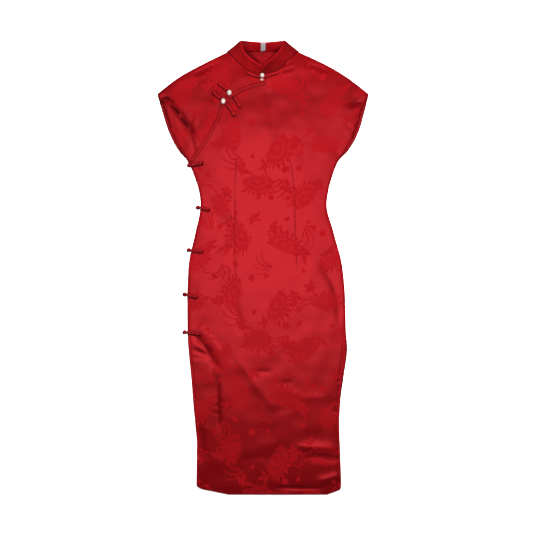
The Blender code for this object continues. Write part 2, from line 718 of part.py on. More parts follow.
def side_frog(frog, ground):
    """One side frog: its bar runs in from the edge, and its knot sits at the bar's outer end."""
    knot, end = np.array(frog.knot), np.array(frog.bar_end)
    way = (end - knot) / np.linalg.norm(end - knot)
    start = knot + way * (KNOT_RADIUS + SEAM_GAP + 0.25 * CORD_RADIUS)
    middle = (start + end) / 2 + np.array([-way[1], way[0]]) * 0.0008
    _, centre = corded(f"side_frog_{frog.number}_bar", (start, middle, end), 1.35, ground)
    under = ground.height(*frog.knot, KNOT_RADIUS)
    height = centre[0, 2] if under is None else max(centre[0, 2], under + SEAM_GAP + KNOT_RADIUS)
    ball(f"side_frog_{frog.number}_knot", (*frog.knot, height), (KNOT_RADIUS,) * 3, CORD)


def main():
    """Empties the scene and makes every piece of the dress."""
    for old in list(bpy.context.scene.objects):
        bpy.data.objects.remove(old, do_unlink=True)
    pieces = [back_panel("back_left", -1), back_panel("back_right", 1)]
    pieces += [front_main(), front_shoulder(), placket_strip()]
    armhole_binding("armhole_binding_left", -1)
    armhole_binding("armhole_binding_right", 1)
    collar()
    neck_tab()
    ground = Ground(pieces)
    for arm in FROG_ARMS:
        corded(arm.name, arm.path, arm.swell, ground)
    for pearl in PEARLS:
        halves = (pearl.half_x, pearl.half_y, pearl.half_z)
        under = ground.height(pearl.x, pearl.y, pearl.half_x / 2)
        ball(pearl.name, (pearl.x, pearl.y, under + SEAM_GAP + pearl.half_z), halves, PEARL)
    for frog in SIDE_FROGS:
        side_frog(frog, ground)


main()
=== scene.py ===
"""Looks of a cheongsam dress that lies flat with its front up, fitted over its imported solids.

Lengths are metres. X runs towards the wearer's left side, Y towards the collar and Z up.
The front is one height field over the flat back: a crown between its edges, the room that the
darts give, the main folds, the fine creases and a faint unevenness of the cloth.
"""

import logging
import math
from dataclasses import dataclass, field
from enum import Enum

import bpy
import numpy as np
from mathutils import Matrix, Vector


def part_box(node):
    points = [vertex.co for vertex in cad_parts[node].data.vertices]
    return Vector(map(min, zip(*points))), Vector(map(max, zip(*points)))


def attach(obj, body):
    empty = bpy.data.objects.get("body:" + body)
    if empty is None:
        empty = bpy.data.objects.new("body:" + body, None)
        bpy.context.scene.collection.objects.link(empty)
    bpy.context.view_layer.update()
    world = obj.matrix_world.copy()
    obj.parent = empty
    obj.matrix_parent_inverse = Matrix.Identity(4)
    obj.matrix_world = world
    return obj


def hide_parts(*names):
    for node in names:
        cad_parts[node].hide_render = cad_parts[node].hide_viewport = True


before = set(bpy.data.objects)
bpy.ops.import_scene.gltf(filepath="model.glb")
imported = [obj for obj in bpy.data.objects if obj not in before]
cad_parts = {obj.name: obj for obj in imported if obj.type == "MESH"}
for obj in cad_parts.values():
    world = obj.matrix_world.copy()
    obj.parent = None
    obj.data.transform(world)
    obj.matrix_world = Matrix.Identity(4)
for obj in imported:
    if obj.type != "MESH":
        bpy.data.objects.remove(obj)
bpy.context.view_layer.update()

LOG = logging.getLogger("dress")

Array = np.ndarray
Socket = bpy.types.NodeSocket
Piece = bpy.types.Object
Material = bpy.types.Material

# Cloth walls and the spaces between them
CLOTH = 0.0012
BAND = 0.0018
TRIM = 0.0010
SEAM_GAP = 0.0003
EDGE_TOP = CLOTH + SEAM_GAP + CLOTH
TURN = 2 * math.pi

# A cord's cap: how far out its ring is and how wide, and how far past the ring its pole is
CAP_REACH = 0.6
CAP_WIDTH = 0.75
POLE_REACH = 0.45


class Side(Enum):
    """The two sides of the dress, with the sign of X on each."""

    LEFT = -1
    RIGHT = 1


class Slot(Enum):
    """The record's material slots."""

    SATIN = "satin"
    PIPING = "piping"
    CORD = "cord"
    PEARL = "pearl"
    RIBBON = "ribbon"


# Curves and small shapes


def smooth(keys: Array, values: Array, at: Array) -> Array:
    """Reads a curve through every key: a cubic whose slopes are the harmonic means of the steps.

    Args:
        keys: Rising places of the known values.
        values: The known values.
        at: Where to read the curve.

    Returns:
        The curve's values, which never swing past a known value.
    """
    keys, values = np.asarray(keys, float), np.asarray(values, float)
    steps = np.diff(keys)
    rates = np.diff(values) / steps
    slopes = np.empty_like(values)
    slopes[0], slopes[-1] = rates[0], rates[-1]
    before, after = rates[:-1], rates[1:]
    same_way = before * after > 0
    total = np.where(same_way, before + after, 1)
    slopes[1:-1] = np.where(same_way, 2 * before * after / total, 0)
    i = np.clip(np.searchsorted(keys, at, side="right") - 1, 0, len(steps) - 1)
    t = np.clip((at - keys[i]) / steps[i], 0, 1)
    start = (1 + 2 * t) * (1 - t) ** 2 * values[i] + t * (1 - t) ** 2 * steps[i] * slopes[i]
    end = t**2 * (3 - 2 * t) * values[i + 1] - t**2 * (1 - t) * steps[i] * slopes[i + 1]
    return start + end


def ease(t: Array) -> Array:
    """Goes from 0 to 1 as 3t² - 2t³, level at both ends."""
    t = np.clip(t, 0, 1)
    return t * t * (3 - 2 * t)


def bell(distance: Array, half: Array) -> Array:
    """Fades as exp(-(distance / half)²)."""
    return np.exp(-((distance / half) ** 2))


def tent(distance: Array, reach: float) -> Array:
    """Falls evenly from 1 to 0 within a reach on both sides."""
    return np.clip(1 - np.abs(distance) / reach, 0, 1)


def read_off(table: tuple[tuple[float, float], ...], at: Array) -> Array:
    """Reads a table of places and values, straight between its entries."""
    places, values = np.array(table).T
    return np.interp(at, places, values)


def lengths_along(path: Array) -> Array:
    """How far along a path each of its points is."""
    return np.concatenate([[0], np.cumsum(np.linalg.norm(np.diff(path, axis=0), axis=1))])


def ways_along(path: Array) -> Array:
    """Unit steps along a path, one at each of its points."""
    run = np.gradient(path, axis=0)
    return run / np.linalg.norm(run, axis=1, keepdims=True)


def flat_place(across: Array, along: Array) -> Array:
    """Places on the flat cloth, as points with no height."""
    return np.stack(np.broadcast_arrays(across, along, 0.0), axis=-1)


def nearest(x: Array, y: Array, path: Array) -> tuple[Array, Array]:
    """Finds the nearest place on a path of straight stretches.

    Args:
        x: Places across.
        y: Places along the dress.
        path: The path's points, two numbers each.

    Returns:
        The distance, above zero on the path's left and below zero on its right, and how far
        along the path the nearest place is, from 0 to 1.
    """
    path = np.asarray(path, float)
    lengths = np.linalg.norm(np.diff(path, axis=0), axis=1)
    before = np.concatenate([[0], np.cumsum(lengths)])
    best = np.full(np.shape(x), np.inf)
    along = np.zeros(np.shape(x))
    sign = np.ones(np.shape(x))
    for k, (a, b) in enumerate(zip(path[:-1], path[1:])):
        run = b - a
        px, py = x - a[0], y - a[1]
        t = np.clip((px * run[0] + py * run[1]) / lengths[k] ** 2, 0, 1)
        d = np.hypot(px - t * run[0], py - t * run[1])
        nearer = d < best
        best = np.where(nearer, d, best)
        along = np.where(nearer, (before[k] + t * lengths[k]) / before[-1], along)
        sign = np.where(nearer, np.where(run[0] * py - run[1] * px < 0, -1.0, 1.0), sign)
    return best * sign, along


def shifted(path: Array, distance: float) -> Array:
    """Moves a plan path to its left: each point goes along the path's left normal."""
    run = ways_along(path)
    return path + distance * np.stack([-run[:, 1], run[:, 0]], axis=1)


def spread(stops: list[Array], cells: tuple[int, ...]) -> Array:
    """Columns between stops: each stretch is cut in its own number of equal cells.

    Args:
        stops: The columns that must be there, each as one place for every row.
        cells: How many cells each stretch has.

    Returns:
        The places of all columns, by row and column.
    """
    columns = []
    for a, b, count in zip(stops[:-1], stops[1:], cells):
        columns.extend(a + (b - a) * k / count for k in range(count))
    return np.stack([*columns, stops[-1]], axis=-1)


def normals_of(grid: Array) -> Array:
    """Unit normals of a grid: the cross product of its steps along rows and along columns."""
    normal = np.cross(np.gradient(grid, axis=1), np.gradient(grid, axis=0))
    return normal / np.maximum(np.linalg.norm(normal, axis=-1, keepdims=True), 1e-12)


# Meshes


def add_piece(
    name: str,
    points: Array,
    faces: list[Array],
    place: Array,
    seam: Array,
    finish: Material,
) -> Piece:
    """Makes a mesh object from whole arrays, with its faces turned out.

    Args:
        name: The piece's name.
        points: The points, three numbers each.
        faces: Arrays of faces, one array for each number of corners.
        place: Where each point is on the flat cloth, in metres.
        seam: Painted shade at each point: 1 where it is darkest, and below zero where
        painted light makes the cloth lighter than its plain tone; on the pearls, the share of
        their painted red reflection.
        finish: The piece's material.

    Returns:
        The new object, at the origin.
    """
    first = faces[0]
    a, b, c = points[first[:, 0]], points[first[:, 1]], points[first[:, 2]]
    d = points[first[:, -1]]
    volume = np.einsum("ij,ij->i", a, np.cross(b, c)).sum()
    volume += np.einsum("ij,ij->i", a, np.cross(c, d)).sum() if first.shape[1] == 4 else 0
    for other in faces[1:]:
        a, b, c = points[other[:, 0]], points[other[:, 1]], points[other[:, 2]]
        volume += np.einsum("ij,ij->i", a, np.cross(b, c)).sum()
    if volume < 0:
        faces = [f[:, ::-1] for f in faces]
    mesh = bpy.data.meshes.new(name)
    mesh.vertices.add(len(points))
    mesh.vertices.foreach_set("co", np.ascontiguousarray(points, np.float32).ravel())
    corners = np.concatenate([f.ravel() for f in faces]).astype(np.int32)
    sizes = np.concatenate([np.full(len(f), f.shape[1]) for f in faces])
    mesh.loops.add(len(corners))
    mesh.loops.foreach_set("vertex_index", corners)
    mesh.polygons.add(len(sizes))
    starts = np.concatenate([[0], np.cumsum(sizes)[:-1]]).astype(np.int32)
    mesh.polygons.foreach_set("loop_start", starts)
    mesh.update(calc_edges=True)
    mesh.validate()
    cloth = mesh.attributes.new("cloth", "FLOAT_VECTOR", "POINT")
    cloth.data.foreach_set("vector", np.ascontiguousarray(place, np.float32).ravel())
    # The seam attribute carries painted shade, and painted light where it is below zero; the materials
    # darken or lighten their colour by it
    depth = mesh.attributes.new("seam", "FLOAT", "POINT")
    depth.data.foreach_set("value", np.ascontiguousarray(seam, np.float32).ravel())
    mesh.shade_smooth()
    mesh.materials.append(finish)
    made = bpy.data.objects.new(name, mesh)
    bpy.context.scene.collection.objects.link(made)
    return made


def quads_of(index: Array) -> Array:
    """The quads of a grid of point numbers."""
    quads = np.stack([index[:-1, :-1], index[:-1, 1:], index[1:, 1:], index[1:, :-1]], axis=-1)
    return quads.reshape(-1, 4)


def rim_of(grid: Array) -> Array:
    """Walks once round the edge of a grid, from its first row to its last column and back."""
    return np.concatenate([grid[0, :-1], grid[:-1, -1], grid[-1, :0:-1], grid[:0:-1, 0]])


def shell(
    name: str, outer: Array, inner: Array, place: Array, seam: Array, finish: Material
) -> Piece:
    """Closes two grids, one each side of the cloth, with a half-round turned edge.

    The rim's middle line is the mean of the two edges, moved out by half the wall: out is the
    cross product of the rim's run and the direction from the inner to the outer face.

    Args:
        name: The piece's name.
        outer: Grid of points of the outer face.
        inner: Grid of points of the inner face.
        place: Grid of places on the flat cloth.
        seam: Grid of painted shade, below zero where it is painted light.
        finish: The piece's material.

    Returns:
        The new object.
    """
    rows, columns = outer.shape[:2]
    size = rows * columns
    index = np.arange(size).reshape(rows, columns)
    rim = rim_of(index)
    top, low = rim_of(outer), rim_of(inner)
    run = np.roll(top, -1, axis=0) - np.roll(top, 1, axis=0)
    wall = top - low
    thick = np.linalg.norm(wall, axis=1, keepdims=True)
    out = np.cross(run, wall)
    out /= np.maximum(np.linalg.norm(out, axis=1, keepdims=True), 1e-12)
    middle = (top + low) / 2 + out * thick / 2
    between = 2 * size + np.arange(len(rim))
    after, between_after = np.roll(rim, -1), np.roll(between, -1)
    faces = [
        quads_of(index),
        quads_of(index)[:, ::-1] + size,
        np.stack([after, rim, between, between_after], axis=1),
        np.stack([between_after, between, rim + size, after + size], axis=1),
    ]
    points = np.concatenate([outer.reshape(-1, 3), inner.reshape(-1, 3), middle])
    flat = place.reshape(-1, 3)
    depth = seam.reshape(-1)
    places = np.concatenate([flat, flat, flat[rim]])
    depths = np.concatenate([depth, depth, depth[rim]])
    return add_piece(name, points, [np.concatenate(faces)], places, depths, finish)


def tube(path: Array, radii: Array, sides: int) -> tuple[Array, list[Array], Array, Array]:
    """Carries a circle along a path and closes both ends with a domed cap.

    A point is the path's point plus the radius times (cos a · across + sin a · up), where
    across is level and up is square to both. The caps are one smaller ring and a pole.

    Args:
        path: Points of the centre line.
        radii: The radius at each of them.
        sides: Corners of the circle.

    Returns:
        The points, the faces, each point's place round the cord and along it, and the way it
        faces.
    """
    run = ways_along(path)
    across = np.cross(run, [0, 0, 1])
    flat = np.linalg.norm(across, axis=1, keepdims=True)
    across = np.where(flat > 1e-6, across / np.maximum(flat, 1e-9), [1.0, 0, 0])
    up = np.cross(across, run)
    before = path[:1] - run[:1] * radii[0] * CAP_REACH
    after = path[-1:] + run[-1:] * radii[-1] * CAP_REACH
    path = np.concatenate([before, path, after])
    across = np.concatenate([across[:1], across, across[-1:]])
    up = np.concatenate([up[:1], up, up[-1:]])
    radii = np.concatenate([[radii[0] * CAP_WIDTH], radii, [radii[-1] * CAP_WIDTH]])
    turns = np.arange(sides) * TURN / sides
    spokes = across[:, None] * np.cos(turns)[:, None] + up[:, None] * np.sin(turns)[:, None]
    rings = path[:, None] + spokes * radii[:, None, None]
    first_pole = path[0] - run[0] * radii[0] * POLE_REACH
    last_pole = path[-1] + run[-1] * radii[-1] * POLE_REACH
    count = len(path)
    index = np.arange(count * sides).reshape(count, sides)
    index = np.concatenate([index, index[:, :1]], axis=1)
    first, last = np.full(sides, count * sides), np.full(sides, count * sides + 1)
    caps = [
        np.stack([index[0, :-1], first, index[0, 1:]], axis=1),
        np.stack([index[-1, :-1], index[-1, 1:], last], axis=1),
    ]
    along = lengths_along(path)
    place = flat_place(turns[None] / TURN, along[:, None]).reshape(-1, 3)
    ends = np.array([[0.5, 0, 0], [0.5, along[-1], 0]])
    points = np.concatenate([rings.reshape(-1, 3), [first_pole, last_pole]])
    out = np.concatenate([spokes.reshape(-1, 3), -run[:1], run[-1:]])
    return points, [quads_of(index), np.concatenate(caps)], np.concatenate([place, ends]), out


# The form of the dress


@dataclass(frozen=True)
class Section:
    """One level of the body: the edges of the back and of the front, and the front's heights."""

    y: float
    back_left: float
    front_left: float
    front_right: float
    back_right: float
    edge_lift: float
    rise: float


SECTIONS = (
    Section(-0.6130, -0.0940, -0.0940, 0.1730, 0.1730, 0.0010, 0.0035),
    Section(-0.6050, -0.1320, -0.1320, 0.1950, 0.1950, 0.0010, 0.0040),
    Section(-0.5980, -0.1660, -0.1660, 0.2095, 0.2095, 0.0010, 0.0045),
    Section(-0.5880, -0.1790, -0.1790, 0.2110, 0.2110, 0.0010, 0.0050),
    Section(-0.4770, -0.1780, -0.1780, 0.2075, 0.2075, 0.0010, 0.0055),
    Section(-0.4280, -0.1820, -0.1820, 0.2060, 0.2060, 0.0010, 0.0060),
    Section(-0.3630, -0.1880, -0.1880, 0.2080, 0.2090, 0.0012, 0.0065),
    Section(-0.2980, -0.1930, -0.1930, 0.2120, 0.2175, 0.0012, 0.0070),
    Section(-0.2170, -0.2010, -0.2010, 0.2215, 0.2275, 0.0010, 0.0075),
    Section(-0.1700, -0.2035, -0.2035, 0.2235, 0.2240, 0.0002, 0.0080),
    Section(-0.0880, -0.2040, -0.2040, 0.2220, 0.2220, 0.0, 0.0085),
    Section(0.0000, -0.2010, -0.2010, 0.2145, 0.2145, 0.0, 0.0085),
    Section(0.0905, -0.1830, -0.1830, 0.1920, 0.1920, 0.0, 0.0080),
    Section(0.1715, -0.1680, -0.1680, 0.1720, 0.1720, 0.0, 0.0075),
    Section(0.2040, -0.1720, -0.1720, 0.1760, 0.1760, 0.0, 0.0080),
    Section(0.2525, -0.1870, -0.1870, 0.1890, 0.1890, 0.0, 0.0095),
    Section(0.2850, -0.2020, -0.2020, 0.2020, 0.2020, 0.0002, 0.0100),
    Section(0.3170, -0.2290, -0.2220, 0.2240, 0.2310, 0.0028, 0.0105),
    Section(0.3660, -0.2540, -0.2455, 0.2475, 0.2580, 0.0030, 0.0105),
    Section(0.4310, -0.2750, -0.2675, 0.2685, 0.2770, 0.0031, 0.0095),
    Section(0.4685, -0.2860, -0.2855, 0.2855, 0.2860, 0.0, 0.0085),
    Section(0.5120, -0.2290, -0.2290, 0.2290, 0.2290, 0.0, 0.0080),
    Section(0.5440, -0.1720, -0.1720, 0.1760, 0.1760, 0.0, 0.0075),
    Section(0.5820, -0.0960, -0.0960, 0.0960, 0.0960, 0.0, 0.0060),
)
SLIT_TOP = 9
ARMPIT = 16
TIP = 20


@dataclass(frozen=True)
class Swell:
    """A low swell of the front, where a pair of darts gives the cloth room."""

    x: float
    y: float
    half_width: float
    half_length: float
    height: float


SWELLS = (
    Swell(-0.078, 0.350, 0.070, 0.085, 0.0060),
    Swell(0.070, 0.350, 0.070, 0.085, 0.0060),
)


@dataclass(frozen=True)
class Fold:
    """A fold: a ridge where its height is above zero, a trough where it is below.

    left and right are its half widths on the two sides of its path, so that one side may be
    steeper.
    """

    height: float
    left: float
    right: float
    path: tuple[tuple[float, float], ...]


MAIN_FOLDS = (
    Fold(-0.0016, 0.014, 0.014, ((-0.194, 0.521), (-0.114, 0.555))),
    Fold(-0.0012, 0.014, 0.014, ((0.116, 0.548), (0.183, 0.526))),
    Fold(-0.0016, 0.013, 0.012, ((-0.244, 0.437), (-0.222, 0.412), (-0.196, 0.366))),
    Fold(-0.0014, 0.010, 0.010, ((-0.268, 0.455), (-0.253, 0.455), (-0.238, 0.438))),
    Fold(0.0006, 0.014, 0.014, ((-0.252, 0.420), (-0.232, 0.380), (-0.212, 0.345))),
    Fold(-0.0030, 0.011, 0.011, ((0.232, 0.440), (0.265, 0.449))),
    Fold(-0.0018, 0.022, 0.022, ((0.014, 0.480), (0.024, 0.420), (0.030, 0.350))),
    Fold(-0.0016, 0.011, 0.011, ((-0.128, 0.117), (-0.084, 0.140))),
    Fold(-0.0020, 0.012, 0.012, ((-0.136, 0.042), (-0.092, 0.074))),
    Fold(-0.0012, 0.013, 0.013, ((-0.077, -0.058), (-0.065, -0.169))),
    Fold(-0.0013, 0.014, 0.014, ((0.157, 0.009), (0.198, -0.060), (0.206, -0.150))),
    Fold(0.0012, 0.014, 0.014, ((-0.170, -0.168), (-0.134, -0.212), (-0.100, -0.262))),
    Fold(-0.0018, 0.011, 0.009, ((-0.186, -0.184), (-0.147, -0.230), (-0.118, -0.275))),
    Fold(-0.0014, 0.011, 0.011, ((-0.182, -0.224), (-0.152, -0.240), (-0.130, -0.268))),
    Fold(-0.0022, 0.012, 0.012, ((-0.122, -0.285), (-0.123, -0.352), (-0.120, -0.450))),
    Fold(0.0006, 0.018, 0.014, ((-0.065, -0.252), (-0.018, -0.322), (0.031, -0.382))),
    Fold(-0.0006, 0.018, 0.018, ((-0.085, -0.290), (-0.045, -0.345), (0.005, -0.400))),
    Fold(-0.0011, 0.012, 0.012, ((0.027, -0.387), (0.090, -0.377))),
    Fold(-0.0010, 0.012, 0.012, ((-0.026, -0.281), (0.022, -0.281))),
    Fold(0.0008, 0.014, 0.014, ((-0.020, -0.480), (0.050, -0.479))),
    Fold(0.0028, 0.014, 0.014, ((0.100, -0.483), (0.150, -0.485), (0.200, -0.488))),
    Fold(-0.0024, 0.013, 0.013, ((0.120, -0.512), (0.160, -0.516), (0.204, -0.517))),
    Fold(0.0018, 0.012, 0.012, ((0.150, -0.575), (0.205, -0.561))),
    Fold(-0.0020, 0.010, 0.010, ((0.027, -0.594), (0.162, -0.596))),
    Fold(-0.0028, 0.013, 0.013, ((-0.168, -0.433), (-0.166, -0.506))),
)

FINE_FOLDS = (
    # Shoulders and the neck
    Fold(-0.0009, 0.006, 0.004, ((-0.188, 0.520), (-0.150, 0.538), (-0.112, 0.556))),
    Fold(0.0007, 0.007, 0.006, ((-0.176, 0.511), (-0.140, 0.528))),
    Fold(-0.0006, 0.006, 0.007, ((0.116, 0.549), (0.150, 0.541), (0.184, 0.527))),
    Fold(0.0007, 0.006, 0.006, ((0.120, 0.538), (0.168, 0.522))),
    Fold(-0.0010, 0.005, 0.005, ((0.058, 0.530), (0.070, 0.535), (0.083, 0.540))),
    Fold(-0.0008, 0.005, 0.005, ((0.048, 0.543), (0.062, 0.549), (0.078, 0.553))),
    Fold(0.0007, 0.006, 0.006, ((0.050, 0.520), (0.080, 0.528))),
    # Left armhole
    Fold(-0.0018, 0.005, 0.007, ((-0.272, 0.458), (-0.256, 0.457), (-0.243, 0.447), (-0.235, 0.432))),
    Fold(-0.0011, 0.006, 0.009, ((-0.245, 0.437), (-0.225, 0.416), (-0.208, 0.393), (-0.196, 0.370))),
    Fold(0.0006, 0.008, 0.006, ((-0.256, 0.442), (-0.243, 0.418), (-0.226, 0.388))),
    Fold(-0.0008, 0.006, 0.008, ((-0.198, 0.376), (-0.188, 0.331), (-0.184, 0.306))),
    Fold(0.0009, 0.008, 0.008, ((-0.176, 0.420), (-0.186, 0.380), (-0.172, 0.345))),
    # Right armhole
    Fold(-0.0012, 0.004, 0.005, ((0.240, 0.441), (0.253, 0.446), (0.267, 0.448))),
    Fold(-0.0009, 0.004, 0.004, ((0.246, 0.452), (0.258, 0.457), (0.270, 0.457))),
    Fold(0.0009, 0.005, 0.005, ((0.232, 0.449), (0.262, 0.452))),
    Fold(-0.0009, 0.005, 0.005, ((0.255, 0.421), (0.262, 0.402))),
    Fold(-0.0009, 0.006, 0.006, ((0.222, 0.388), (0.247, 0.368))),
    Fold(-0.0007, 0.006, 0.006, ((0.176, 0.330), (0.212, 0.300))),
    # Chest and waist
    Fold(-0.0007, 0.009, 0.009, ((0.012, 0.486), (0.020, 0.430), (0.030, 0.352))),
    Fold(-0.0008, 0.005, 0.006, ((-0.105, 0.198), (-0.092, 0.188), (-0.079, 0.176))),
    Fold(-0.0009, 0.005, 0.006, ((-0.130, 0.116), (-0.106, 0.128), (-0.083, 0.141))),
    Fold(-0.0008, 0.005, 0.006, ((-0.115, 0.073), (-0.094, 0.084), (-0.073, 0.092))),
    Fold(-0.0009, 0.005, 0.006, ((-0.138, 0.041), (-0.106, 0.058), (-0.078, 0.070))),
    Fold(-0.0008, 0.006, 0.006, ((-0.121, -0.031), (-0.100, -0.012), (-0.083, 0.004))),
    Fold(-0.0006, 0.007, 0.007, ((0.104, 0.168), (0.138, 0.176), (0.166, 0.173))),
    # Hips
    Fold(-0.0008, 0.008, 0.006, ((0.151, 0.029), (0.176, 0.038), (0.197, 0.051))),
    Fold(-0.0007, 0.008, 0.006, ((0.158, 0.008), (0.186, -0.040), (0.203, -0.100), (0.205, -0.158))),
    Fold(-0.0007, 0.008, 0.007, ((-0.077, -0.060), (-0.072, -0.120), (-0.064, -0.172))),
    # Fan of creases at the top of the left slit
    Fold(-0.0018, 0.007, 0.005, ((-0.190, -0.180), (-0.170, -0.194), (-0.147, -0.232), (-0.118, -0.273))),
    Fold(-0.0013, 0.006, 0.005, ((-0.187, -0.222), (-0.152, -0.237), (-0.128, -0.266))),
    Fold(-0.0011, 0.005, 0.005, ((-0.190, -0.242), (-0.176, -0.245), (-0.160, -0.247))),
    Fold(0.0010, 0.006, 0.006, ((-0.186, -0.205), (-0.162, -0.220), (-0.138, -0.250))),
    Fold(0.0008, 0.007, 0.006, ((-0.172, -0.160), (-0.140, -0.190), (-0.112, -0.232))),
    # Left of the skirt
    Fold(-0.0014, 0.005, 0.007, ((-0.126, -0.279), (-0.124, -0.352), (-0.121, -0.428))),
    Fold(-0.0007, 0.004, 0.004, ((-0.134, -0.352), (-0.120, -0.356))),
    Fold(-0.0007, 0.004, 0.004, ((-0.135, -0.371), (-0.119, -0.375))),
    Fold(-0.0007, 0.004, 0.004, ((-0.134, -0.392), (-0.118, -0.396))),
    Fold(-0.0011, 0.006, 0.006, ((-0.172, -0.430), (-0.169, -0.470), (-0.172, -0.508))),
    Fold(0.0007, 0.008, 0.008, ((-0.158, -0.350), (-0.152, -0.440), (-0.155, -0.520))),
    # Middle and right of the skirt
    Fold(0.0005, 0.010, 0.007, ((-0.066, -0.251), (-0.020, -0.318), (0.032, -0.383))),
    Fold(-0.0008, 0.006, 0.006, ((-0.028, -0.281), (-0.004, -0.283), (0.018, -0.281))),
    Fold(-0.0009, 0.006, 0.006, ((0.030, -0.316), (0.052, -0.313), (0.076, -0.309))),
    Fold(0.0008, 0.010, 0.008, ((0.060, -0.330), (0.110, -0.352), (0.160, -0.350))),
    Fold(-0.0012, 0.004, 0.004, ((0.198, -0.309), (0.210, -0.308))),
    Fold(-0.0008, 0.004, 0.004, ((0.194, -0.371), (0.208, -0.370))),
    Fold(-0.0008, 0.004, 0.004, ((0.195, -0.379), (0.208, -0.379))),
    Fold(-0.0008, 0.004, 0.004, ((0.194, -0.387), (0.208, -0.388))),
    Fold(0.0013, 0.006, 0.010, ((0.094, -0.482), (0.150, -0.485), (0.204, -0.489))),
    Fold(-0.0014, 0.008, 0.006, ((0.130, -0.510), (0.186, -0.517), (0.208, -0.517))),
    Fold(0.0011, 0.006, 0.007, ((0.151, -0.575), (0.180, -0.568), (0.206, -0.559))),
    Fold(-0.0008, 0.005, 0.005, ((0.030, -0.594), (0.100, -0.597), (0.160, -0.596))),
    Fold(-0.0007, 0.008, 0.008, ((-0.060, -0.520), (-0.010, -0.512), (0.040, -0.520))),
)

BACK_FOLDS = (
    Fold(0.0014, 0.012, 0.010, ((-0.120, 0.150), (-0.060, 0.165))),
    Fold(0.0012, 0.010, 0.012, ((0.050, 0.140), (0.125, 0.155))),
    Fold(0.0012, 0.012, 0.010, ((-0.100, 0.020), (-0.040, 0.040))),
    Fold(0.0013, 0.010, 0.012, ((0.060, -0.060), (0.130, -0.030))),
    Fold(0.0016, 0.013, 0.011, ((0.120, -0.200), (0.080, -0.270))),
    Fold(0.0014, 0.012, 0.012, ((-0.110, -0.230), (-0.060, -0.310))),
    Fold(0.0012, 0.012, 0.010, ((-0.030, -0.390), (0.060, -0.400))),
    Fold(0.0014, 0.011, 0.011, ((-0.120, -0.470), (-0.050, -0.480))),
    Fold(0.0012, 0.012, 0.012, ((0.060, -0.520), (0.140, -0.510))),
    Fold(0.0012, 0.014, 0.012, ((-0.110, 0.420), (-0.060, 0.380))),
    Fold(0.0012, 0.012, 0.014, ((0.070, 0.430), (0.120, 0.400))),
)


@dataclass(frozen=True)
class PaintedShade:
    """A line of painted shade where light hardly reaches: its depth from 0 to 1, its half width and its
    path.
    """

    depth: float
    half: float
    path: tuple[tuple[float, float], ...]
